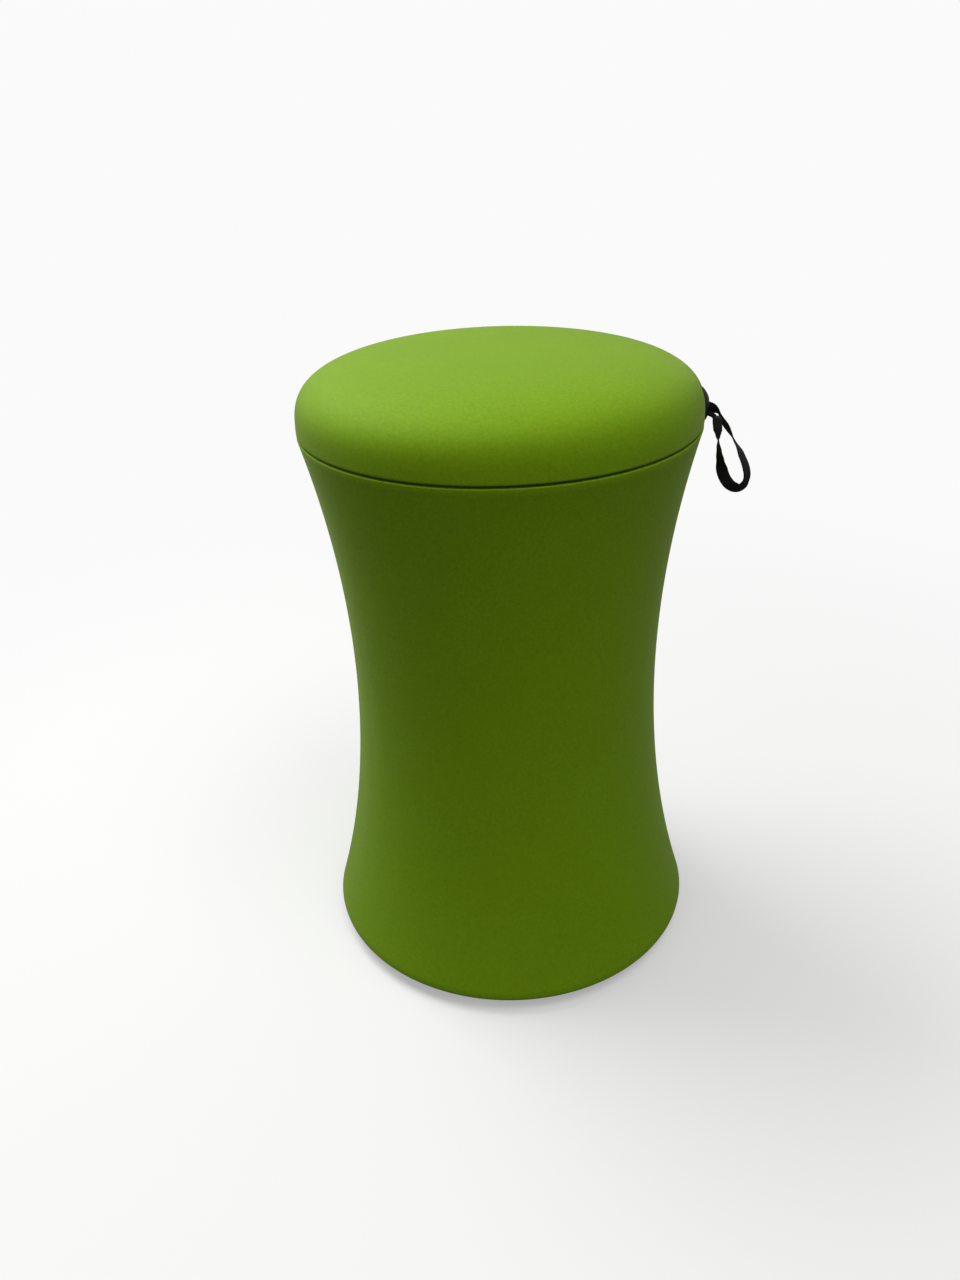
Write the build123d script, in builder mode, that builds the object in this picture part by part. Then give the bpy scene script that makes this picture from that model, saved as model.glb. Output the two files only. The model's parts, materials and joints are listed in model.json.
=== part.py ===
"""Active (wobble) stool: padded seat, hourglass knit sleeve, gas lift and convex rubber foot.

Millimetres, +Z up. The origin is on the floor under the stool's axis, and the pull strap
leaves the seat at +X. The stool stands at its full height; the lift slides down by STROKE.
"""

from build123d import *
from math import acosh, atan2, cos, cosh, degrees, hypot, pi, sin, tan
import os

# ---------------------------------------------------------------- overall sizes
SEAT_DIA = 350.0  # widest line of the seat, where it meets the gap above the sleeve
SEAT_DEPTH = 58.0  # from that line up to the crown
SEAT_SQUARENESS = 3.444  # exponent of the seat's superellipse: 2 is round, 5 almost square
STOOL_HEIGHT = 582.0  # crown above the floor, stool fully raised
RIM_DIA = 367.0  # sleeve at the floor rim
WAIST_DIA = 290.0  # sleeve at its narrowest
WAIST_Z = 283.0  # height of the narrowest line
STROKE = 130.0  # travel of the gas lift

# ---------------------------------------------------------------- clearances
RUN = 0.05  # radial running fit of a shaft in its bore
SLIP = 0.3  # gap between pieces that only lie against each other
SEAT_GAP = 2.0  # open slit between the seat and the sleeve's top hem

# ---------------------------------------------------------------- soft skins
SLEEVE_T = 1.5  # stretch knit of the sleeve
SKIN_T = 1.2  # stretch knit of the seat
HEM_R = 2.0  # rounding of the sleeve's top hem
RIM_ROUND = 5.0  # rounding of the sleeve under the floor rim
HEM_CORD_R = 1.2  # drawcord sewn in each hem

# ---------------------------------------------------------------- base
RIM_Z = 17.0  # widest line of the sleeve above the floor
FLAT_R = 70.0  # flat contact patch of the foot
FOOT_RISE = 11.0  # how far the foot curves up to its edge
FOOT_T = 6.0  # rubber thickness
SHELL_T = 4.0  # wall of the moulded base
SHELL_WALL_TOP = 40.0
RIB_T = 3.0
RIB_TOP = 30.0
BASE_RIBS = 12
BOSS_R = 62.0
BALLAST_R = 150.0
BALLAST_T = 6.0
SOCKET_T = 4.0
SOCKET_FLANGE_R = 58.0
SOCKET_H = 42.0
SOCKET_SCREWS = 6
SCREW_R = 3.0
SCREW_HEAD_R = 5.0
SCREW_HEAD_H = 3.0
SOCKET_SCREW_L = 24.0
PILOT_DEPTH = 16.0
RIM_CORD_OUT = 5.0  # drawcord's groove outside the foot
GROOVE_D = 2.5

# ---------------------------------------------------------------- gas lift
COLUMN_R = 25.0
COLUMN_T = 2.0
COLUMN_LOW = 22.0
COLUMN_FLOOR_T = 3.0
DROP_ROOM = 48.0  # left between the column and the barrel when the stool is down
GUIDE_LEN = 90.0
GUIDE_COLLAR = 4.0
CYLINDER_R = 14.0
CYLINDER_T = 1.5
CYLINDER_BELOW = 30.0  # cylinder below the guide bush at full height
ROD_R = 5.0
ROD_TIP_R = 4.0
ROD_TIP_L = 7.0  # rod below the tube's floor
ROD_CLIP_T = 1.5
NUT_ROOM = 3.0  # rod above the piston
BEARING_R = 12.0
BEARING_T = 4.0
PISTON_H = 12.0
PISTON_SEAL_T = 3.0
PISTON_SEAL_D = 3.0
GLAND_H = 12.0  # guide and seal at the cylinder's mouth
VALVE_BLOCK_H = 32.0
VALVE_PIN_R = 3.0
VALVE_PIN_L = 35.0
VALVE_PROUD = 8.0  # pin above the cylinder

# ---------------------------------------------------------------- seat structure
SIDE_SHARE = 1 / 35  # foam and knit outside the pan, as a share of the seat's radius
PAN_T = 4.0
PAN_RISE = 25.0  # underside of the pan's roof above the seam
PAN_ROOF_T = 5.0
PAN_RIBS = 12
PAN_RIB_H = 8.0
PAN_BEVEL = 6.0
PLATE_T = 3.0  # steel plate of the hub
PLATE_R = 95.0
PLATE_SCREWS = 4
PLATE_SCREW_RING = 80.0
INSERT_R = 4.5
BARREL_T = 8.0
SHOULDER_T = 4.0
SHOULDER_OUT = 5.0
BUSH_L = 17.0
BUSH_T = 4.0
WASHER_T = 1.5
WASHER_OUT = 8.0
CLIP_DEPTH = 1.0
CLIP_OUT = 3.0
CLAMP_T = 4.5
CLAMP_H = 7.5
CLAMP_GAP_W = 24.0  # opening in the ring for the strap
CLAMP_GAP_DEPTH = 40.0

# ---------------------------------------------------------------- sleeve's hoop and its carrier
HOOP_W = 12.0
HOOP_H = 11.0
HOOP_LIP = 8.0
HOOP_LIP_T = 3.0
CARRIER_WEB = 3.0
CARRIER_RING = 7.0
CARRIER_RIB_T = 3.0
CARRIER_RIBS = 8
CARRIER_HOLE_R = 14.0
CARRIER_SCREW_R = 1.5
CARRIER_SCREW_L = 9.0
CARRIER_SCREW_HEAD = 1.6

# ---------------------------------------------------------------- release: lever, pin and strap
LEVER_OUT = 12.0  # pivot outside the barrel
LEVER_T = 5.0
LEVER_PLAY = 0.5  # beside the lever, in its lugs
LEVER_PIN_R = 3.0
LEVER_BOSS_R = 6.0
LEVER_DROP = 7.0  # pivot below the steel plate
LEVER_ARM = 24.0  # pivot to strap pin
NOSE_R = 2.5
TINE_T = 3.0
LUG_T = 3.0
STRAP_W = 10.0
STRAP_T = 1.2
STRAP_PIN_R = 2.0
EXIT_RISE = 11.0  # strap at the pan's wall, above the seam
GUIDE_W = 16.0
GUIDE_CHEEK = 8.4  # escutcheon above and below its slot
GUIDE_PROUD = 3.0
SLOT_PLAY = 1.0  # round the doubled strap, on each flat
SLOT_END_PLAY = 1.3  # at each edge of the strap
SLOT_COLLAR = 2.0  # wall of the guide's collar through the pan
CORD_R = 1.95  # round cord of the same section as the 10 x 1.2 webbing
KEEPER_T = 3.6
KEEPER_Y = 4.0  # middle of the keeper, in front of the loop's outer run
KEEPER_DROP = 24.3  # its lower edge under the strap's exit
LEVER_PIN_L = 18.0
LEVER_CLIP_T = 0.8
LEVER_PIN_NECK = 0.6  # depth of the pin's clip grooves

# ---------------------------------------------------------------- levels and radii that follow
SEAT_R = SEAT_DIA / 2
RIM_R = RIM_DIA / 2
WAIST_R = WAIST_DIA / 2
SEAM_Z = STOOL_HEIGHT - SEAT_DEPTH
SLEEVE_TOP = SEAM_Z - SEAT_GAP / 2
SEAT_LOW = SEAM_Z + SEAT_GAP / 2

PAN_R = SEAT_R * (1 - SIDE_SHARE)
SIDE_PADDING = SEAT_R - PAN_R
PAN_LOW = SEAT_LOW + SKIN_T + 2 * SLIP
PAN_ROOF = SEAM_Z + PAN_RISE
PAN_TOP = PAN_ROOF + PAN_ROOF_T
PLATE_Z = PAN_ROOF - PLATE_T

BARREL_R = CYLINDER_R + BARREL_T
LEVER_X = BARREL_R + LEVER_OUT
LEVER_Z = PLATE_Z - LEVER_DROP
NOSE_Z = PLATE_Z - NOSE_R - 0.7
VALVE_TOP = NOSE_Z - NOSE_R - SLIP
CYLINDER_TOP = VALVE_TOP - VALVE_PROUD
STRAP_PIN_Z = LEVER_Z - LEVER_ARM
FORK_GAP = STRAP_W / 2 + 1.5
FORK_LOW = STRAP_PIN_Z - FORK_GAP - TINE_T

SHOULDER_TOP = FORK_LOW - 1.5
SHOULDER_LOW = SHOULDER_TOP - SHOULDER_T
BUSH_TOP = SHOULDER_LOW - SLIP
BUSH_LOW = BUSH_TOP - BUSH_L
WASHER_LOW = BUSH_LOW - SLIP - WASHER_T
CLIP_LOW = WASHER_LOW - WASHER_T
BARREL_LOW = CLIP_LOW - 1.5

COLUMN_TOP = BARREL_LOW - STROKE - DROP_ROOM
COLUMN_FLOOR = COLUMN_LOW + COLUMN_FLOOR_T
ROD_FOOT = COLUMN_FLOOR + BEARING_T
CYLINDER_LOW = COLUMN_TOP - GUIDE_LEN - CYLINDER_BELOW
PISTON_LOW = CYLINDER_LOW + GLAND_H + 4.0
CYLINDER_BORE = CYLINDER_R - CYLINDER_T
SEAL_Z = PISTON_LOW + (PISTON_H - PISTON_SEAL_T) / 2
ROD_TIP_LOW = COLUMN_LOW - ROD_TIP_L
ROD_CLIP_LOW = COLUMN_LOW - 4.0

FOOT_R = RIM_R - 13.5
FOOT_EDGE = FOOT_RISE + 5.0  # top of the rubber at its edge
SHELL_RIM_LOW = RIM_Z - RIM_ROUND + SLEEVE_T + SLIP
SOCKET_SCREW_RING = (COLUMN_R + SOCKET_T + SOCKET_FLANGE_R) / 2
RIM_CORD_RING = FOOT_R + RIM_CORD_OUT
BALLAST_Z = RIB_TOP
FLANGE_Z = BALLAST_Z + BALLAST_T

HOOP_TOP = SLEEVE_TOP - SLEEVE_T - SLIP
HOOP_LOW = HOOP_TOP - HOOP_H
HEM_IN = SEAT_R - HOOP_W - 1.0
HOOP_IN = HEM_IN - SLEEVE_T - SLIP
HOOP_CORD_RING = HOOP_IN + 3.5
CARRIER_SCREW_RING = HOOP_IN - HOOP_LIP / 2
CARRIER_TOP = HOOP_TOP - HOOP_LIP_T
CARRIER_STEP = BUSH_TOP - 6.0  # where the carrier's dish meets its hub

SLOT_W = 2 * STRAP_T + 2 * SLOT_PLAY
SLOT_H = STRAP_W + 2 * SLOT_END_PLAY
GUIDE_H = SLOT_H + 2 * GUIDE_CHEEK
GUIDE_Z = SLEEVE_TOP + 2 * SLIP + GUIDE_H / 2
EXIT_Z = SEAM_Z + EXIT_RISE
KEEPER_LOW = EXIT_Z - KEEPER_DROP
STRAP_END_X = SEAT_R - 1.0
CLAMP_IN = PAN_R - PAN_T - CLAMP_T
LUG_IN = LEVER_T / 2 + LEVER_PLAY
LEVER_CLIP_Y = LUG_IN + LUG_T + LEVER_CLIP_T


# ---------------------------------------------------------------- shapes shared by several pieces
def sleeve_radius(z: float, inset: float = 0.0) -> float:
    """Radius of the stretched sleeve at height z: a catenary from the waist to each ring."""
    end_r, end_z = (RIM_R, RIM_Z) if z < WAIST_Z else (SEAT_R, SLEEVE_TOP)
    spread = (end_z - WAIST_Z) / acosh(end_r / WAIST_R)
    return WAIST_R * cosh((z - WAIST_Z) / spread) - inset


def sleeve_line(low: float, high: float, inset: float = 0.0) -> list[tuple[float, float]]:
    """Points up the sleeve's side from low to high, with the waist among them."""
    steps = 5
    below = [low + (WAIST_Z - low) * i / steps for i in range(steps)]
    above = [WAIST_Z + (high - WAIST_Z) * i / steps for i in range(steps + 1)]
    return [(sleeve_radius(z, inset), z) for z in below + above]


def crown_line(grow: float = 0.0) -> list[tuple[float, float]]:
    """Points of the seat's crown, a superellipse from its widest line to the axis."""
    steps = 10
    radius, height = SEAT_R + grow, SEAT_DEPTH + grow
    power = 2 / SEAT_SQUARENESS
    turns = [pi / 2 * i / steps for i in range(steps)]
    side = [(radius * cos(t) ** power, SEAM_Z + height * sin(t) ** power) for t in turns]
    return side + [(0.0, SEAM_Z + height)]


def save(piece: BuildPart, node: str) -> None:
    """Labels a finished piece and writes it as the STEP file of its node."""
    piece.part.label = node
    export_step(piece.part, f"parts/{node}.step")


os.makedirs("parts", exist_ok=True)

# ================================================================ base
# Rubber foot: a flat patch to stand on, then a convex edge that lets the stool rock.
with BuildPart() as foot_dome:
    with BuildSketch(Plane.XZ):
        with BuildLine():
            Polyline((0, FOOT_T), (0, 0), (FLAT_R, 0))
            TangentArc((FLAT_R, 0), (FOOT_R, FOOT_RISE), tangent=(1, 0))
            Polyline((FOOT_R, FOOT_RISE), (FOOT_R, FOOT_EDGE), (FLAT_R, FOOT_T), (0, FOOT_T))
        make_face()
    revolve(axis=Axis.Z)
save(foot_dome, "foot_dome")

# Moulded base: a conical floor that lies on the foot, a rim wall for the sleeve, and a boss.
with BuildPart() as base_shell:
    wall_r = sleeve_radius(SHELL_WALL_TOP, SLEEVE_T + SLIP)
    rim_r = RIM_R - SLEEVE_T - SLIP
    floor_slope = (FOOT_EDGE - FOOT_T) / (FOOT_R - FLAT_R)
    with BuildSketch(Plane.XZ):
        with BuildLine():
            Polyline(
                (0, FOOT_T),
                (FLAT_R, FOOT_T),
                (FOOT_R, FOOT_EDGE),
                (FOOT_R + SLIP, SHELL_RIM_LOW),
                (rim_r - 3, SHELL_RIM_LOW),
                (rim_r, SHELL_RIM_LOW + 3),
                (wall_r, SHELL_WALL_TOP),
                (wall_r - SHELL_T, SHELL_WALL_TOP),
                (rim_r - 2 * SHELL_T, FOOT_EDGE + SHELL_T),
                (FOOT_R, FOOT_EDGE + SHELL_T),
                (FLAT_R, FOOT_T + SHELL_T),
                (BOSS_R, FOOT_T + SHELL_T),
                (BOSS_R, BALLAST_Z),
                (COLUMN_R, BALLAST_Z),
                (COLUMN_R, FOOT_T + SHELL_T),
                (0, FOOT_T + SHELL_T),
                close=True,
            )
        make_face()
    revolve(axis=Axis.Z)
    with PolarLocations(0, BASE_RIBS, start_angle=180 / BASE_RIBS):
        with BuildPart(mode=Mode.PRIVATE) as base_rib:
            with BuildSketch(Plane.XZ):
                with BuildLine():
                    Polyline(
                        (BOSS_R - 1, FOOT_T + 1),
                        (FLAT_R, FOOT_T + 1),
                        (FOOT_R, FOOT_EDGE + 1),
                        (wall_r - 1, FOOT_EDGE + 2),
                        (wall_r - 1, BALLAST_Z),
                        (BOSS_R - 1, BALLAST_Z),
                        close=True,
                    )
                make_face()
            extrude(amount=RIB_T / 2, both=True)
        add(base_rib.part)
    # pilot holes for the screws of the column's socket
    with Locations(Plane.XY.offset(BALLAST_Z)):
        with PolarLocations(SOCKET_SCREW_RING, SOCKET_SCREWS):
            Hole(SCREW_R, depth=PILOT_DEPTH)
    # groove under the rim for the drawcord of the sleeve's lower hem
    with BuildSketch(Plane.XZ):
        with Locations((RIM_CORD_RING, SHELL_RIM_LOW)):
            Rectangle(2 * HEM_CORD_R + 2 * SLIP, 2 * GROOVE_D)
    revolve(axis=Axis.Z, mode=Mode.SUBTRACT)
save(base_shell, "base_shell")

# Drawcord of the lower hem, in its groove.
with BuildPart() as rim_cord:
    with BuildSketch(Plane.XZ):
        with Locations((RIM_CORD_RING, SHELL_RIM_LOW + HEM_CORD_R)):
            Circle(HEM_CORD_R)
    revolve(axis=Axis.Z)
save(rim_cord, "rim_cord")

# Steel ring that lies on the ribs and keeps the stool upright.
with BuildPart() as ballast_plate:
    with BuildSketch(Plane.XY.offset(BALLAST_Z)):
        Circle(BALLAST_R)
        Circle(COLUMN_R, mode=Mode.SUBTRACT)
        with PolarLocations(SOCKET_SCREW_RING, SOCKET_SCREWS):
            Circle(SCREW_R, mode=Mode.SUBTRACT)
    extrude(amount=BALLAST_T)
save(ballast_plate, "ballast_plate")

# Flanged steel socket for the gas lift's outer tube.
with BuildPart() as column_socket:
    with BuildSketch(Plane.XY.offset(FLANGE_Z)):
        Circle(SOCKET_FLANGE_R)
        Circle(COLUMN_R, mode=Mode.SUBTRACT)
        with PolarLocations(SOCKET_SCREW_RING, SOCKET_SCREWS):
            Circle(SCREW_R, mode=Mode.SUBTRACT)
    extrude(amount=SOCKET_T)
    with BuildSketch(Plane.XY.offset(FLANGE_Z)):
        Circle(COLUMN_R + SOCKET_T)
        Circle(COLUMN_R, mode=Mode.SUBTRACT)
    extrude(amount=SOCKET_H)
save(column_socket, "column_socket")

with BuildPart() as socket_screws:
    with Locations(Plane.XY.offset(FLANGE_Z + SOCKET_T)):
        with PolarLocations(SOCKET_SCREW_RING, SOCKET_SCREWS):
            Cylinder(SCREW_HEAD_R, SCREW_HEAD_H, align=(Align.CENTER, Align.CENTER, Align.MIN))
            Cylinder(SCREW_R, SOCKET_SCREW_L, align=(Align.CENTER, Align.CENTER, Align.MAX))
save(socket_screws, "socket_screws")

# Outer tube of the gas lift, closed by a floor that the piston rod hangs through.
with BuildPart() as column_tube:
    with BuildSketch(Plane.XY.offset(COLUMN_LOW)):
        Circle(COLUMN_R)
        Circle(ROD_TIP_R, mode=Mode.SUBTRACT)
    extrude(amount=COLUMN_FLOOR_T)
    with BuildSketch(Plane.XY.offset(COLUMN_FLOOR)):
        Circle(COLUMN_R)
        Circle(COLUMN_R - COLUMN_T, mode=Mode.SUBTRACT)
    extrude(amount=COLUMN_TOP - COLUMN_FLOOR)
save(column_tube, "column_tube")

# Long plastic bush in the tube's mouth, in which the cylinder slides and turns.
with BuildPart() as guide_bush:
    with BuildSketch(Plane.XY.offset(COLUMN_TOP - GUIDE_LEN)):
        Circle(COLUMN_R - COLUMN_T)
        Circle(CYLINDER_R + RUN, mode=Mode.SUBTRACT)
    extrude(amount=GUIDE_LEN)
    with BuildSketch(Plane.XY.offset(COLUMN_TOP)):
        Circle(COLUMN_R)
        Circle(CYLINDER_R + RUN, mode=Mode.SUBTRACT)
    extrude(amount=GUIDE_COLLAR)
    chamfer(guide_bush.faces().sort_by(Axis.Z)[-1].outer_wire().edges(), 1.5)
save(guide_bush, "guide_bush")

with BuildPart() as rod_bearing:
    with BuildSketch(Plane.XY.offset(COLUMN_FLOOR)):
        Circle(BEARING_R)
        Circle(ROD_TIP_R, mode=Mode.SUBTRACT)
    extrude(amount=BEARING_T)
save(rod_bearing, "rod_bearing")

# Piston rod: its shoulder stands on the bearing, and its tip is clipped under the tube's floor.
with BuildPart() as piston_rod:
    with BuildSketch(Plane.XY.offset(ROD_TIP_LOW)):
        Circle(ROD_TIP_R)
    extrude(amount=ROD_FOOT - ROD_TIP_LOW)
    with BuildSketch(Plane.XY.offset(ROD_FOOT)):
        Circle(ROD_R)
    extrude(amount=PISTON_LOW - ROD_FOOT)
    with BuildSketch(Plane.XY.offset(PISTON_LOW)):
        Circle(ROD_TIP_R)
    extrude(amount=PISTON_H + NUT_ROOM)
    with BuildSketch(Plane.XY.offset(ROD_CLIP_LOW)):
        Circle(ROD_TIP_R)
        Circle(ROD_TIP_R - CLIP_DEPTH, mode=Mode.SUBTRACT)
    extrude(amount=ROD_CLIP_T, mode=Mode.SUBTRACT)
save(piston_rod, "piston_rod")

with BuildPart() as rod_clip:
    with BuildSketch(Plane.XY.offset(ROD_CLIP_LOW)):
        Circle(ROD_TIP_R + CLIP_OUT)
        Circle(ROD_TIP_R - CLIP_DEPTH, mode=Mode.SUBTRACT)
        with Locations((ROD_TIP_R + 1, 0)):
            Rectangle(8, 4, mode=Mode.SUBTRACT)
    extrude(amount=ROD_CLIP_T)
save(rod_clip, "rod_clip")

with BuildPart() as piston:
    with BuildSketch(Plane.XY.offset(PISTON_LOW)):
        Circle(CYLINDER_BORE - RUN)
        Circle(ROD_TIP_R, mode=Mode.SUBTRACT)
    extrude(amount=PISTON_H)
    with BuildSketch(Plane.XY.offset(SEAL_Z)):
        Circle(CYLINDER_BORE)
        Circle(CYLINDER_BORE - PISTON_SEAL_D, mode=Mode.SUBTRACT)
    extrude(amount=PISTON_SEAL_T, mode=Mode.SUBTRACT)
save(piston, "piston")

with BuildPart() as piston_seal:
    with BuildSketch(Plane.XY.offset(SEAL_Z)):
        Circle(CYLINDER_BORE - RUN / 2)
        Circle(CYLINDER_BORE - PISTON_SEAL_D, mode=Mode.SUBTRACT)
    extrude(amount=PISTON_SEAL_T)
save(piston_seal, "piston_seal")

# ================================================================ sleeve
# Stretch knit: round the floor rim, up the waist, over the hoop and in to the hoop's groove.
with BuildPart() as stretch_sleeve:
    outer_top = SLEEVE_TOP - HEM_R
    inner_line = sleeve_line(RIM_Z, HOOP_TOP - 1, SLEEVE_T)
    with BuildSketch(Plane.XZ):
        with BuildLine():
            Spline(*sleeve_line(RIM_Z, outer_top))
            outer_end = (sleeve_radius(outer_top), outer_top)
            Line(outer_end, (SEAT_R - 0.6 * HEM_R, SLEEVE_TOP - 0.3 * HEM_R))
            Line((SEAT_R - 0.6 * HEM_R, SLEEVE_TOP - 0.3 * HEM_R), (SEAT_R - 1.2 * HEM_R, SLEEVE_TOP))
            Polyline(
                (SEAT_R - 1.2 * HEM_R, SLEEVE_TOP),
                (HEM_IN, SLEEVE_TOP),
                (HEM_IN, SLEEVE_TOP - SLEEVE_T),
                (SEAT_R - SLEEVE_T - HEM_R, SLEEVE_TOP - SLEEVE_T),
                inner_line[-1],
            )
            Spline(*inner_line)
            inner_rim = (RIM_R - SLEEVE_T, RIM_Z)
            lip_z = RIM_Z - RIM_ROUND
            RadiusArc(inner_rim, (RIM_R - RIM_ROUND, lip_z + SLEEVE_T), RIM_ROUND - SLEEVE_T)
            Polyline(
                (RIM_R - RIM_ROUND, lip_z + SLEEVE_T),
                (FOOT_R + 1.5, lip_z + SLEEVE_T),
                (FOOT_R + 1.5, lip_z),
                (RIM_R - RIM_ROUND, lip_z),
            )
            RadiusArc((RIM_R, RIM_Z), (RIM_R - RIM_ROUND, lip_z), RIM_ROUND)
        make_face()
    revolve(axis=Axis.Z)
save(stretch_sleeve, "stretch_sleeve")

# Aluminium hoop inside the sleeve's top edge, with a groove for the hem's drawcord.
with BuildPart() as cover_hoop:
    with BuildSketch(Plane.XZ):
        with BuildLine():
            Polyline(
                (HOOP_IN, HOOP_LOW),
                (sleeve_radius(HOOP_LOW, SLEEVE_T + SLIP), HOOP_LOW),
                (sleeve_radius(HOOP_TOP - 3, SLEEVE_T + SLIP), HOOP_TOP - 3),
                (SEAT_R - SLEEVE_T - HEM_R - 1, HOOP_TOP),
                (HOOP_IN - HOOP_LIP, HOOP_TOP),
                (HOOP_IN - HOOP_LIP, HOOP_TOP - HOOP_LIP_T),
                (HOOP_IN, HOOP_TOP - HOOP_LIP_T),
                close=True,
            )
        make_face()
        with Locations((HOOP_CORD_RING, HOOP_TOP)):
            Rectangle(2 * HEM_CORD_R + 2 * SLIP, 2 * GROOVE_D, mode=Mode.SUBTRACT)
    revolve(axis=Axis.Z)
    with Locations(Plane.XY.offset(HOOP_TOP)):
        with PolarLocations(CARRIER_SCREW_RING, CARRIER_RIBS):
            Hole(CARRIER_SCREW_R, depth=HOOP_LIP_T)
save(cover_hoop, "cover_hoop")

with BuildPart() as hoop_cord:
    with BuildSketch(Plane.XZ):
        with Locations((HOOP_CORD_RING, HOOP_TOP - HEM_CORD_R)):
            Circle(HEM_CORD_R)
    revolve(axis=Axis.Z)
save(hoop_cord, "hoop_cord")

# Moulded dish that carries the hoop and turns freely round the seat's barrel.
with BuildPart() as hoop_carrier:
    hub_in = BARREL_R + BUSH_T
    hub_out = hub_in + CARRIER_RING
    with BuildSketch(Plane.XZ):
        with BuildLine():
            Polyline(
                (hub_in, BUSH_LOW),
                (hub_out, BUSH_LOW),
                (hub_out, CARRIER_STEP - CARRIER_WEB),
                (HOOP_IN - HOOP_LIP, CARRIER_TOP - CARRIER_WEB),
                (HOOP_IN - HOOP_LIP, HOOP_LOW),
                (HOOP_IN, HOOP_LOW),
                (HOOP_IN, CARRIER_TOP),
                (HOOP_IN - HOOP_LIP, CARRIER_TOP),
                (hub_out, CARRIER_STEP),
                (hub_out, BUSH_TOP),
                (hub_in, BUSH_TOP),
                close=True,
            )
        make_face()
    revolve(axis=Axis.Z)
    with PolarLocations(0, CARRIER_RIBS):
        with BuildPart(mode=Mode.PRIVATE) as carrier_rib:
            with BuildSketch(Plane.XZ):
                with BuildLine():
                    Polyline(
                        (hub_out - 1, BUSH_LOW),
                        (hub_out - 1, CARRIER_STEP - 1),
                        (HOOP_IN - HOOP_LIP + 1, CARRIER_TOP - 1),
                        (HOOP_IN - HOOP_LIP + 1, HOOP_LOW),
                        close=True,
                    )
                make_face()
            extrude(amount=CARRIER_RIB_T / 2, both=True)
        add(carrier_rib.part)
    with BuildSketch(Plane.XY.offset(BUSH_LOW)):
        with PolarLocations((hub_out + HOOP_IN) / 2, CARRIER_RIBS, start_angle=180 / CARRIER_RIBS):
            Circle(CARRIER_HOLE_R)
    extrude(amount=HOOP_TOP - BUSH_LOW, mode=Mode.SUBTRACT)
    with Locations(Plane.XY.offset(CARRIER_TOP)):
        with PolarLocations(CARRIER_SCREW_RING, CARRIER_RIBS):
            Hole(CARRIER_SCREW_R, depth=CARRIER_SCREW_L - HOOP_LIP_T)
save(hoop_carrier, "hoop_carrier")

with BuildPart() as carrier_screws:
    with Locations(Plane.XY.offset(HOOP_TOP)):
        with PolarLocations(CARRIER_SCREW_RING, CARRIER_RIBS):
            Cylinder(2 * CARRIER_SCREW_R, CARRIER_SCREW_HEAD, align=(Align.CENTER, Align.CENTER, Align.MIN))
            Cylinder(CARRIER_SCREW_R, CARRIER_SCREW_L, align=(Align.CENTER, Align.CENTER, Align.MAX))
save(carrier_screws, "carrier_screws")

with BuildPart() as swivel_bush:
    with BuildSketch(Plane.XY.offset(BUSH_LOW)):
        Circle(hub_in)
        Circle(BARREL_R + RUN, mode=Mode.SUBTRACT)
    extrude(amount=BUSH_L)
save(swivel_bush, "swivel_bush")

# ================================================================ seat
# Pressure cylinder with its valve block on top and its gland at the mouth.
with BuildPart() as gas_cylinder:
    with BuildSketch(Plane.XY.offset(CYLINDER_LOW)):
        Circle(CYLINDER_R)
        Circle(CYLINDER_BORE, mode=Mode.SUBTRACT)
    extrude(amount=CYLINDER_TOP - CYLINDER_LOW)
save(gas_cylinder, "gas_cylinder")

with BuildPart() as cylinder_gland:
    with BuildSketch(Plane.XY.offset(CYLINDER_LOW)):
        Circle(CYLINDER_BORE)
        Circle(ROD_R + RUN, mode=Mode.SUBTRACT)
    extrude(amount=GLAND_H)
save(cylinder_gland, "cylinder_gland")

with BuildPart() as valve_block:
    with BuildSketch(Plane.XY.offset(CYLINDER_TOP - VALVE_BLOCK_H)):
        Circle(CYLINDER_BORE)
        Circle(VALVE_PIN_R + RUN, mode=Mode.SUBTRACT)
    extrude(amount=VALVE_BLOCK_H)
save(valve_block, "valve_block")

with BuildPart() as valve_pin:
    with BuildSketch(Plane.XY.offset(VALVE_TOP - VALVE_PIN_L)):
        Circle(VALVE_PIN_R)
    extrude(amount=VALVE_PIN_L)
    chamfer(valve_pin.faces().sort_by(Axis.Z)[-1].edges(), 0.5)
save(valve_pin, "valve_pin")

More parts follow.
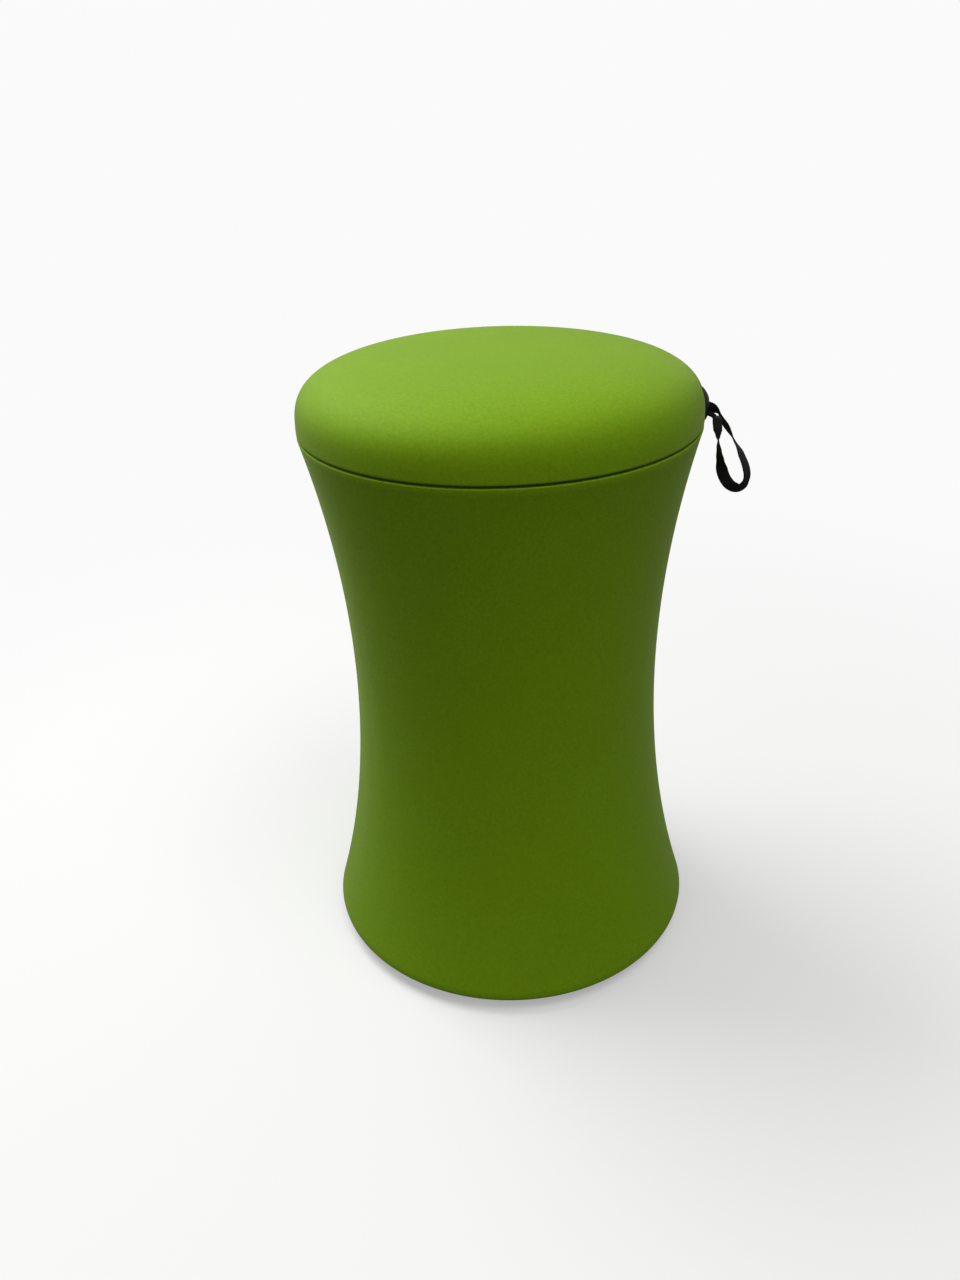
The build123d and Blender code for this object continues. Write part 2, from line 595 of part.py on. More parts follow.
# Steel hub: barrel on the cylinder, shoulder over the swivel bush, plate under the pan.
with BuildPart() as seat_hub:
    with BuildSketch(Plane.XZ):
        with BuildLine():
            Polyline(
                (CYLINDER_R, BARREL_LOW),
                (BARREL_R, BARREL_LOW),
                (BARREL_R, CLIP_LOW),
                (BARREL_R - CLIP_DEPTH, CLIP_LOW),
                (BARREL_R - CLIP_DEPTH, WASHER_LOW),
                (BARREL_R, WASHER_LOW),
                (BARREL_R, SHOULDER_LOW),
                (BARREL_R + SHOULDER_OUT, SHOULDER_LOW),
                (BARREL_R + SHOULDER_OUT, SHOULDER_TOP),
                (BARREL_R, SHOULDER_TOP),
                (BARREL_R, PLATE_Z),
                (PLATE_R, PLATE_Z),
                (PLATE_R, PAN_ROOF),
                (0, PAN_ROOF),
                (0, PLATE_Z),
                (CYLINDER_R, PLATE_Z),
                close=True,
            )
        make_face()
    revolve(axis=Axis.Z)
    # window in the barrel for the lever's nose
    with BuildSketch(Plane.XY.offset(CYLINDER_TOP)):
        with Locations((BARREL_R, 0)):
            Rectangle(2 * BARREL_T + 6, LEVER_T + 2)
    extrude(amount=PLATE_Z - CYLINDER_TOP, mode=Mode.SUBTRACT)
    # lugs that hold the lever's pin
    with BuildSketch(Plane.XZ):
        with BuildLine():
            Polyline(
                (LEVER_X - LEVER_BOSS_R, PLATE_Z + 1),
                (LEVER_X - LEVER_BOSS_R, LEVER_Z),
                (LEVER_X - 3, LEVER_Z - LEVER_BOSS_R),
                (LEVER_X + 3, LEVER_Z - LEVER_BOSS_R),
                (LEVER_X + LEVER_BOSS_R, LEVER_Z),
                (LEVER_X + LEVER_BOSS_R, PLATE_Z + 1),
                close=True,
            )
        make_face()
        with Locations((LEVER_X, LEVER_Z)):
            Circle(LEVER_PIN_R, mode=Mode.SUBTRACT)
    extrude(amount=LUG_IN + LUG_T, both=True)
    with BuildSketch(Plane.XZ):
        with Locations((LEVER_X, LEVER_Z - 1)):
            Rectangle(2 * LEVER_BOSS_R + 4, 2 * LEVER_DROP + 2)
    extrude(amount=LUG_IN, both=True, mode=Mode.SUBTRACT)
    with Locations(Plane.XY.offset(PLATE_Z)):
        with PolarLocations(PLATE_SCREW_RING, PLATE_SCREWS, start_angle=45):
            Hole(SCREW_R)
save(seat_hub, "seat_hub")

with BuildPart() as thrust_washer:
    with BuildSketch(Plane.XY.offset(WASHER_LOW)):
        Circle(BARREL_R + WASHER_OUT)
        Circle(BARREL_R, mode=Mode.SUBTRACT)
    extrude(amount=WASHER_T)
save(thrust_washer, "thrust_washer")

with BuildPart() as hub_circlip:
    with BuildSketch(Plane.XY.offset(CLIP_LOW)):
        Circle(BARREL_R + CLIP_OUT)
        Circle(BARREL_R - CLIP_DEPTH, mode=Mode.SUBTRACT)
        with Locations((BARREL_R, 0)):
            Rectangle(3 * CLIP_OUT, 8, mode=Mode.SUBTRACT)
    extrude(amount=WASHER_LOW - CLIP_LOW)
save(hub_circlip, "hub_circlip")

# Moulded pan: flat roof on the hub's plate, ribs below it, and a wall down to the seam.
with BuildPart() as seat_pan:
    with BuildSketch(Plane.XZ):
        with BuildLine():
            Polyline(
                (0, PAN_ROOF),
                (PAN_R - PAN_T, PAN_ROOF),
                (PAN_R - PAN_T, PAN_LOW),
                (PAN_R, PAN_LOW),
                (PAN_R, PAN_TOP - PAN_BEVEL),
                (PAN_R - PAN_BEVEL, PAN_TOP),
                (0, PAN_TOP),
                close=True,
            )
        make_face()
    revolve(axis=Axis.Z)
    with PolarLocations(0, PAN_RIBS, start_angle=180 / PAN_RIBS):
        with BuildPart(mode=Mode.PRIVATE) as pan_rib:
            with BuildSketch(Plane.XZ):
                with Locations(((PLATE_R + PAN_R) / 2, PAN_ROOF - PAN_RIB_H / 2 + 0.5)):
                    Rectangle(PAN_R - PLATE_R - 4, PAN_RIB_H + 1)
            extrude(amount=RIB_T / 2, both=True)
        add(pan_rib.part)
    with Locations(Plane.XY.offset(PAN_TOP)):
        with PolarLocations(PLATE_SCREW_RING, PLATE_SCREWS, start_angle=45):
            Hole(INSERT_R, depth=PAN_ROOF_T)
    # notch in the wall for the collar of the strap's guide
    with BuildSketch(Plane.YZ.offset(PAN_R - PAN_T - 2)):
        with Locations((0, EXIT_Z)):
            Rectangle(SLOT_W + 2 * SLOT_COLLAR, SLOT_H + 2 * SLOT_COLLAR)
    extrude(amount=PAN_T + 4, mode=Mode.SUBTRACT)
save(seat_pan, "seat_pan")

with BuildPart() as thread_inserts:
    with BuildSketch(Plane.XY.offset(PAN_ROOF)):
        with PolarLocations(PLATE_SCREW_RING, PLATE_SCREWS, start_angle=45):
            Circle(INSERT_R)
            Circle(SCREW_R, mode=Mode.SUBTRACT)
    extrude(amount=PAN_ROOF_T)
save(thread_inserts, "thread_inserts")

with BuildPart() as plate_screws:
    with Locations(Plane.XY.offset(PLATE_Z)):
        with PolarLocations(PLATE_SCREW_RING, PLATE_SCREWS, start_angle=45):
            Cylinder(SCREW_HEAD_R, SCREW_HEAD_H, align=(Align.CENTER, Align.CENTER, Align.MAX))
            Cylinder(SCREW_R, PLATE_T + PAN_ROOF_T, align=(Align.CENTER, Align.CENTER, Align.MIN))
save(plate_screws, "plate_screws")

# Foam: the crown over the pan and a thin skirt round its wall.
with BuildPart() as seat_foam:
    foam_line = crown_line(-SKIN_T - SLIP)
    with BuildSketch(Plane.XZ):
        with BuildLine():
            Spline(*foam_line, tangents=[(0, 1), (-1, 0)])
            Polyline(foam_line[-1], (0, SEAM_Z), foam_line[0])
        make_face()
        with BuildLine():
            Polyline(
                (0, SEAM_Z),
                (SEAT_DIA, SEAM_Z),
                (SEAT_DIA, PAN_LOW),
                (PAN_R + SLIP, PAN_LOW),
                (PAN_R + SLIP, PAN_TOP + SLIP - PAN_BEVEL),
                (PAN_R + SLIP - PAN_BEVEL, PAN_TOP + SLIP),
                (0, PAN_TOP + SLIP),
                close=True,
            )
        make_face(mode=Mode.SUBTRACT)
    revolve(axis=Axis.Z)
    with BuildSketch(Plane.YZ.offset(PAN_R - PAN_T)):
        with Locations((0, GUIDE_Z)):
            Ellipse(GUIDE_W / 2 + SLIP, GUIDE_H / 2 + SLIP)
    extrude(amount=2 * PAN_T + SIDE_PADDING, mode=Mode.SUBTRACT)
save(seat_foam, "seat_foam")

# Knit over the foam, tucked under the pan's wall.
with BuildPart() as seat_cover:
    with BuildSketch(Plane.XZ):
        with BuildLine():
            Spline(*crown_line(), tangents=[(0, 1), (-1, 0)])
            Polyline((0, STOOL_HEIGHT), (0, SEAM_Z), (SEAT_R, SEAM_Z))
        make_face()
        with BuildLine():
            Polyline((0, SEAM_Z), (SEAT_DIA, SEAM_Z), (SEAT_DIA, SEAT_LOW), (0, SEAT_LOW), close=True)
        make_face(mode=Mode.SUBTRACT)
        with BuildLine():
            Spline(*crown_line(-SKIN_T), tangents=[(0, 1), (-1, 0)])
            Polyline((0, STOOL_HEIGHT - SKIN_T), (0, SEAM_Z), (SEAT_R - SKIN_T, SEAM_Z))
        make_face(mode=Mode.SUBTRACT)
        with BuildLine():
            Polyline(
                (CLAMP_IN, SEAT_LOW),
                (SEAT_R - SKIN_T / 2, SEAT_LOW),
                (SEAT_R - SKIN_T / 2, SEAT_LOW + SKIN_T),
                (CLAMP_IN, SEAT_LOW + SKIN_T),
                close=True,
            )
        make_face()
    revolve(axis=Axis.Z)
    with BuildSketch(Plane.YZ.offset(PAN_R - PAN_T)):
        with Locations((0, GUIDE_Z)):
            Ellipse(GUIDE_W / 2 + SLIP, GUIDE_H / 2 + SLIP)
    extrude(amount=2 * PAN_T + SIDE_PADDING, mode=Mode.SUBTRACT)
save(seat_cover, "seat_cover")

# Ring that clamps the knit's edge inside the pan, open where the strap passes.
with BuildPart() as clamp_ring:
    with BuildSketch(Plane.XY.offset(SEAT_LOW + SKIN_T + SLIP)):
        Circle(PAN_R - PAN_T)
        Circle(CLAMP_IN, mode=Mode.SUBTRACT)
        with Locations((PAN_R, 0)):
            Rectangle(CLAMP_GAP_DEPTH, CLAMP_GAP_W, mode=Mode.SUBTRACT)
    extrude(amount=CLAMP_H)
save(clamp_ring, "clamp_ring")

# Slim escutcheon in the seat's side: follows the padding and stands a little proud of it.
with BuildPart() as strap_guide:
    with BuildSketch(Plane.YZ.offset(PAN_R)):
        with Locations((0, GUIDE_Z)):
            Ellipse(GUIDE_W / 2, GUIDE_H / 2)
    extrude(amount=SIDE_PADDING + GUIDE_PROUD + 2)
    with BuildSketch(Plane.XZ):
        with BuildLine():
            proud_line = crown_line(GUIDE_PROUD)
            Spline(*proud_line, tangents=[(0, 1), (-1, 0)])
            Polyline(
                proud_line[-1],
                (0, SEAM_Z - SEAT_GAP),
                (proud_line[0][0], SEAM_Z - SEAT_GAP),
                proud_line[0],
            )
        make_face()
    revolve(axis=Axis.Z, mode=Mode.INTERSECT)
    with BuildSketch(Plane.YZ.offset(PAN_R - PAN_T)):
        with Locations((0, EXIT_Z)):
            Rectangle(SLOT_W + 2 * SLOT_COLLAR, SLOT_H + 2 * SLOT_COLLAR)
    extrude(amount=PAN_T + 1)
    with BuildSketch(Plane.YZ.offset(PAN_R - PAN_T)):
        with Locations((0, EXIT_Z)):
            Rectangle(SLOT_W, SLOT_H)
    extrude(amount=SEAT_R, mode=Mode.SUBTRACT)
save(strap_guide, "strap_guide")

# ================================================================ release
with BuildPart() as lever_pin:
    with BuildSketch(Plane.XZ):
        with Locations((LEVER_X, LEVER_Z)):
            Circle(LEVER_PIN_R)
    extrude(amount=LEVER_PIN_L / 2, both=True)
    for side in (-1, 1):
        with BuildSketch(Plane.XZ.offset(side * LEVER_CLIP_Y)):
            with Locations((LEVER_X, LEVER_Z)):
                Circle(LEVER_PIN_R)
                Circle(LEVER_PIN_R - LEVER_PIN_NECK, mode=Mode.SUBTRACT)
        extrude(amount=LEVER_CLIP_T / 2, both=True, mode=Mode.SUBTRACT)
save(lever_pin, "lever_pin")

with BuildPart() as lever_clips:
    for side in (-1, 1):
        with BuildSketch(Plane.XZ.offset(side * LEVER_CLIP_Y)):
            with Locations((LEVER_X, LEVER_Z)):
                Circle(LEVER_PIN_R + 2)
                Circle(LEVER_PIN_R - LEVER_PIN_NECK, mode=Mode.SUBTRACT)
            with Locations((LEVER_X, LEVER_Z - LEVER_PIN_R)):
                Rectangle(3, 5, mode=Mode.SUBTRACT)
        extrude(amount=LEVER_CLIP_T / 2, both=True)
save(lever_clips, "lever_clips")

# Bell crank: its nose presses the valve pin when the strap pulls its fork outward.
with BuildPart() as release_lever:
    fork_in = LEVER_X - STRAP_PIN_R - 3
    fork_out = LEVER_X + STRAP_PIN_R + 1.5
    with BuildSketch(Plane.XZ):
        with Locations((LEVER_X, LEVER_Z)):
            Circle(LEVER_BOSS_R)
        with Locations((0, NOSE_Z)):
            Circle(NOSE_R)
        with BuildLine():
            Polyline(
                (0, NOSE_Z - NOSE_R + 0.9),
                (LEVER_X, NOSE_Z - NOSE_R + 0.9),
                (LEVER_X, LEVER_Z + LEVER_BOSS_R),
                (0, NOSE_Z + NOSE_R - 0.3),
                close=True,
            )
        make_face()
        with BuildLine():
            Polyline(
                (LEVER_X - LEVER_BOSS_R + 1.5, LEVER_Z + 1),
                (fork_in - 3.5, LEVER_Z - LEVER_BOSS_R - 2),
                (fork_in - 3.5, FORK_LOW),
                (fork_out, FORK_LOW),
                (fork_out, FORK_LOW + TINE_T),
                (fork_in, FORK_LOW + TINE_T),
                (fork_in, STRAP_PIN_Z + FORK_GAP),
                (fork_out, STRAP_PIN_Z + FORK_GAP),
                (fork_out, STRAP_PIN_Z + FORK_GAP + TINE_T),
                (LEVER_X + LEVER_BOSS_R - 1.5, LEVER_Z - 3),
                close=True,
            )
        make_face()
        with Locations((LEVER_X, LEVER_Z)):
            Circle(LEVER_PIN_R + RUN, mode=Mode.SUBTRACT)
    extrude(amount=LEVER_T / 2, both=True)
    with Locations((LEVER_X, 0, STRAP_PIN_Z)):
        Cylinder(STRAP_PIN_R, 4 * FORK_GAP, mode=Mode.SUBTRACT)
save(release_lever, "release_lever")

with BuildPart() as strap_pin:
    with BuildSketch(Plane.XY.offset(FORK_LOW)):
        with Locations((LEVER_X, 0)):
            Circle(STRAP_PIN_R)
    extrude(amount=2 * FORK_GAP + 2 * TINE_T)
save(strap_pin, "strap_pin")

# Doubled webbing, set on edge, sewn into an eye round the strap pin.
strap_angle = atan2(EXIT_Z - STRAP_PIN_Z, PAN_R - LEVER_X)
strap_length = (STRAP_END_X - LEVER_X) / cos(strap_angle)
strap_plane = Plane(
    origin=(LEVER_X, 0, STRAP_PIN_Z),
    x_dir=(cos(strap_angle), 0, sin(strap_angle)),
    z_dir=(-sin(strap_angle), 0, cos(strap_angle)),
)
with BuildPart() as inner_strap:
    eye = 2 * (STRAP_PIN_R + 0.4)
    with BuildSketch(strap_plane):
        with Locations((strap_length / 2 + eye / 4, 0)):
            Rectangle(strap_length - eye / 2, 2 * STRAP_T)
        SlotOverall(eye + 1.4 + 2 * STRAP_T, eye + 2 * STRAP_T)
        SlotOverall(eye + 1.4, eye, mode=Mode.SUBTRACT)
    extrude(amount=STRAP_W / 2, both=True)
save(inner_strap, "inner_strap")

# Free loop outside the seat: out of the guide, down, round and back up to the keeper.
strap_end = (STRAP_END_X, 0, STRAP_PIN_Z + (STRAP_END_X - LEVER_X) * tan(strap_angle))
loop_route = [
    strap_end,
    (SEAT_R + 6.6, 0, strap_end[2] + 7.6 * tan(strap_angle)),
    (SEAT_R + 13.6, 0, EXIT_Z - 13.8),
    (SEAT_R + 26.0, 0, EXIT_Z - 31.8),
    (SEAT_R + 36.6, 0, EXIT_Z - 52.0),
    (SEAT_R + 38.2, 0, EXIT_Z - 71.4),
    (SEAT_R + 23.0, -0.8, EXIT_Z - 77.4),
    (SEAT_R + 13.6, -2.4, EXIT_Z - 61.0),
    (SEAT_R + 11.2, -KEEPER_Y, EXIT_Z - 41.0),
    (SEAT_R + 11.7, -KEEPER_Y, KEEPER_LOW - 0.1),
]


def corner_radii(route: list[tuple[float, float, float]]) -> list[float]:
    """Radius of the arc at each inner point: as large as the shorter of its two runs allows."""
    radii = []
    for before, here, after in zip(route, route[1:], route[2:]):
        run_in, run_out = Vector(here) - Vector(before), Vector(after) - Vector(here)
        half_turn = run_in.get_angle(run_out) * pi / 360
        radii.append(0.45 * min(run_in.length, run_out.length) / tan(half_turn))
    return radii


loop_radii = corner_radii(loop_route)
print("strap loop radii, mm:", [round(radius, 1) for radius in loop_radii])
with BuildPart() as strap_loop:
    with BuildLine() as loop_path:
        FilletPolyline(*loop_route, radius=loop_radii)
    with BuildSketch(Plane(origin=strap_end, z_dir=loop_path.line % 0)):
        Circle(CORD_R)
    sweep()
loop_length = sum(edge.length for edge in loop_path.edges())
print(f"strap loop length {loop_length:.1f} mm, volume ratio",
      round(strap_loop.part.volume / (pi * CORD_R**2 * loop_length), 4))
save(strap_loop, "strap_loop")

# Flat keeper that closes the loop against its outer run.
with BuildPart() as loop_keeper:
    keeper_x = loop_route[-1][0]
    with BuildSketch(Plane.XZ.offset(KEEPER_Y - KEEPER_T / 2)):
        with BuildLine():
            Polyline(
                (keeper_x - 2.6, KEEPER_LOW),
                (keeper_x + 2.4, KEEPER_LOW),
                (keeper_x + 3.6, KEEPER_LOW + 8),
                (keeper_x + 0.6, KEEPER_LOW + 18.5),
                (keeper_x - 3.8, KEEPER_LOW + 18.5),
                (keeper_x - 5.6, KEEPER_LOW + 9),
                close=True,
            )
        make_face()
    extrude(amount=KEEPER_T)
    fillet(loop_keeper.edges().filter_by(Axis.Y), 1.0)
save(loop_keeper, "loop_keeper")
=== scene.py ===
"""Looks of an active (wobble) stool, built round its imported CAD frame.

The stool is a padded seat in stretch knit, an hourglass sleeve of the same knit over a gas
lift, and a webbing loop that hangs from a moulded guide in the seat's side. Everything is in
metres, in the frame's own axes: +Z up, the strap at +X, the front at -Y.
"""

from __future__ import annotations
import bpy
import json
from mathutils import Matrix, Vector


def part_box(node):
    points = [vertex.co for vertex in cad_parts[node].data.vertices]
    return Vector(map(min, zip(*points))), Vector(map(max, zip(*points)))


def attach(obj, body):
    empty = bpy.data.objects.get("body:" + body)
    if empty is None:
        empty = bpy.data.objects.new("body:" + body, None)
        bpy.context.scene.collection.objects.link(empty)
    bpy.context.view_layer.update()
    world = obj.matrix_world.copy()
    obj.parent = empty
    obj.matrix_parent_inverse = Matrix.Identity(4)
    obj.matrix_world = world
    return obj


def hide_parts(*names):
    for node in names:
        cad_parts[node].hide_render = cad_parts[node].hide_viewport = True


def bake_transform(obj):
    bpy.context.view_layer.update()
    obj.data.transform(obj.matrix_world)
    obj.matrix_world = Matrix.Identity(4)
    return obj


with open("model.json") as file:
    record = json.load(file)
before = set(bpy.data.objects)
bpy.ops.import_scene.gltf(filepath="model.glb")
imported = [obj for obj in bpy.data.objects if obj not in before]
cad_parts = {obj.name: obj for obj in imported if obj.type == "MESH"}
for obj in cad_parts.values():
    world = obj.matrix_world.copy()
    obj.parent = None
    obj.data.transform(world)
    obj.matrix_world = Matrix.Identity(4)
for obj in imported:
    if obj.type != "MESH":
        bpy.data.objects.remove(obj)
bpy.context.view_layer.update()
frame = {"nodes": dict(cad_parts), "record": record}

import json
import logging
import math
from dataclasses import dataclass, field
from enum import Enum
from typing import Sequence

import bmesh
import bpy
from mathutils import Matrix, Vector

LOG = logging.getLogger("wobble_stool")
MM = 0.001
TURN = 2 * math.pi

Tree = bpy.types.NodeTree
Socket = bpy.types.NodeSocket
Material = bpy.types.Material
Piece = bpy.types.Object
Point = tuple[float, float, float]
Pairs = Sequence[tuple[float, float]]


# ---------------------------------------------------------------- small tools
def srgb(code: str) -> tuple[float, float, float, float]:
    """Turns an sRGB hex colour into the linear colour that a shader socket takes.

    Args:
        code: The colour as "#rrggbb".

    Returns:
        Linear red, green and blue, and an alpha of 1.
    """
    channels = [int(code[i : i + 2], 16) / 255 for i in (1, 3, 5)]
    linear = [c / 12.92 if c <= 0.04045 else ((c + 0.055) / 1.055) ** 2.4 for c in channels]
    return (linear[0], linear[1], linear[2], 1.0)


def add_node(
    tree: Tree,
    kind: str,
    settings: dict[str, object] | None = None,
    **links: object,
) -> bpy.types.Node:
    """Adds one node, sets its properties, and fills its inputs.

    Args:
        tree: The node tree that gets the node.
        kind: The node's type, such as "ShaderNodeMath".
        settings: Properties of the node itself, such as its operation.
        **links: Inputs by name, or by "i" and a number, with spaces written as underscores.
            A socket is linked, and any other value becomes the input's own value.

    Returns:
        The new node.
    """
    node = tree.nodes.new(kind)
    for name, value in (settings or {}).items():
        setattr(node, name, value)
    for name, value in links.items():
        is_number = name[0] == "i" and name[1:].isdigit()
        socket = node.inputs[int(name[1:])] if is_number else node.inputs[name.replace("_", " ")]
        if isinstance(value, Socket):
            tree.links.new(value, socket)
        else:
            socket.default_value = value
    return node


def calc(tree: Tree, operation: str, *values: object, clamp: bool = False) -> Socket:
    """Adds a math node.

    Args:
        tree: The node tree that gets the node.
        operation: The operation, such as "MULTIPLY_ADD".
        *values: The operands in order, each a socket or a number.
        clamp: Whether the result is kept between 0 and 1.

    Returns:
        The socket with the result.
    """
    settings = {"operation": operation, "use_clamp": clamp}
    operands = {f"i{place}": value for place, value in enumerate(values)}
    return add_node(tree, "ShaderNodeMath", settings, **operands).outputs[0]


def noise(tree: Tree, place: Socket, size: float, detail: float, roughness: float) -> Socket:
    """Adds a noise texture.

    Args:
        tree: The node tree that gets the node.
        place: Where the texture is read.
        size: Length over which it changes.
        detail: How many finer layers it has.
        roughness: How strong the finer layers are.

    Returns:
        The socket with its value, from 0 to 1.
    """
    links = {"Vector": place, "Scale": 1 / size, "Detail": detail, "Roughness": roughness}
    return add_node(tree, "ShaderNodeTexNoise", None, **links).outputs["Fac"]


def colour_between(tree: Tree, share: Socket, low: str, high: str) -> Socket:
    """Adds a mix of two colours.

    Args:
        tree: The node tree that gets the node.
        share: How far the mix has gone from the low colour to the high one.
        low: The sRGB hex colour at 0.
        high: The sRGB hex colour at 1.

    Returns:
        The socket with the mixed colour.
    """
    links = {"i0": share, "i6": srgb(low), "i7": srgb(high)}
    return add_node(tree, "ShaderNodeMix", {"data_type": "RGBA"}, **links).outputs[2]


def fresh_material(name: str) -> tuple[Material, Tree, bpy.types.Node]:
    """Makes an empty node material with an output.

    Args:
        name: The material's name.

    Returns:
        The material, its node tree and its output node.
    """
    material = bpy.data.materials.new(name)
    material.use_nodes = True
    tree = material.node_tree
    tree.nodes.clear()
    return material, tree, tree.nodes.new("ShaderNodeOutputMaterial")


def surface(
    tree: Tree, output: bpy.types.Node, height: Socket, relief: tuple[float, float], **inputs: object
) -> None:
    """Adds a Principled shader with a relief, and links it to the material's output.

    Args:
        tree: The material's node tree.
        output: The material's output node.
        height: The socket with the relief's height.
        relief: The relief's depth and its strength.
        **inputs: The shader's other inputs, as in add_node.
    """
    depth, strength = relief
    bump = add_node(tree, "ShaderNodeBump", None, Strength=strength, Distance=depth, Height=height)
    inputs["Normal"] = bump.outputs["Normal"]
    shader = add_node(tree, "ShaderNodeBsdfPrincipled", None, **inputs)
    tree.links.new(shader.outputs[0], output.inputs["Surface"])


def link_object(name: str, mesh: bpy.types.Mesh) -> Piece:
    """Puts a mesh in the scene as an object, shaded smooth.

    Args:
        name: The object's name.
        mesh: Its mesh.

    Returns:
        The new object.
    """
    made = bpy.data.objects.new(name, mesh)
    bpy.context.scene.collection.objects.link(made)
    for face in mesh.polygons:
        face.use_smooth = True
    return made


def apply_modifiers(piece: Piece) -> None:
    """Replaces a piece's mesh by what its modifiers make of it, and removes them.

    Args:
        piece: The piece that has the modifiers.
    """
    graph = bpy.context.evaluated_depsgraph_get()
    graph.update()
    solid = bpy.data.meshes.new_from_object(piece.evaluated_get(graph), depsgraph=graph)
    piece.modifiers.clear()
    piece.data = solid


def face_outward(bm: bmesh.types.BMesh) -> None:
    """Turns every face the same way, and the widest one away from the Z axis.

    Args:
        bm: The mesh, changed in place.
    """
    bmesh.ops.recalc_face_normals(bm, faces=bm.faces)
    widest = max(bm.faces, key=lambda face: face.calc_center_median().xy.length)
    if widest.normal.dot(widest.calc_center_median()) < 0:
        bmesh.ops.reverse_faces(bm, faces=bm.faces)


def lofted(
    name: str,
    rings: Sequence[Sequence[Point]],
    uvs: Sequence[Pairs],
    loop_back: bool = False,
    cap_ends: bool = False,
) -> Piece:
    """Skins a stack of rings with quads and gives them UVs in metres.

    Args:
        name: The object's name.
        rings: Rings of the same number of points each.
        uvs: One (u, v) for each point, with one more at the ring's end for the wrap.
        loop_back: Whether the last ring joins the first, as on a closed tube wall.
        cap_ends: Whether the first and last rings are filled.

    Returns:
        The new object, in the scene.
    """
    count = len(rings[0])
    mesh = bpy.data.meshes.new(name)
    bm = bmesh.new()
    layer = bm.loops.layers.uv.new("metres")
    verts = [[bm.verts.new(point) for point in ring] for ring in rings]
    rows = len(rings) if loop_back else len(rings) - 1
    for i in range(rows):
        j = (i + 1) % len(rings)
        for k in range(count):
            m = (k + 1) % count
            face = bm.faces.new((verts[i][k], verts[i][m], verts[j][m], verts[j][k]))
            corners = (uvs[i][k], uvs[i][k + 1], uvs[j][k + 1], uvs[j][k])
            for loop, corner in zip(face.loops, corners):
                loop[layer].uv = corner
    if cap_ends:
        for ring, corners in ((verts[0][::-1], uvs[0][::-1]), (verts[-1], uvs[-1])):
            face = bm.faces.new(ring)
            for loop, corner in zip(face.loops, corners[-count:]):
                loop[layer].uv = corner
    face_outward(bm)
    bm.to_mesh(mesh)
    bm.free()
    return link_object(name, mesh)


def dress(piece: Piece, material: Material) -> None:
    """Gives a piece one material and smooth shading.

    Args:
        piece: The piece.
        material: Its only material from now on.
    """
    piece.data.materials.clear()
    piece.data.materials.append(material)
    for face in piece.data.polygons:
        face.use_smooth = True


def rounded_corner(angle: float, power: float) -> tuple[float, float]:
    """Reads a point of a rounded square of half width 1.

    Args:
        angle: The point's angle.
        power: How round the form is: 1 is a circle, and smaller powers are squarer.

    Returns:
        The point's two coordinates.
    """
    c, s = math.cos(angle), math.sin(angle)
    return math.copysign(abs(c) ** power, c), math.copysign(abs(s) ** power, s)


def smoothed(values: Pairs, at: float) -> float:
    """Reads a smooth curve through (place, value) pairs at one place.

    Args:
        values: The pairs, in order of place.
        at: The place.

    Returns:
        The value there, which stays level before the first pair and after the last.
    """
    if at <= values[0][0]:
        return values[0][1]
    for (a, low), (b, high) in zip(values, values[1:]):
        if at <= b:
            t = (at - a) / (b - a)
            return low + (high - low) * t * t * (3 - 2 * t)
    return values[-1][1]


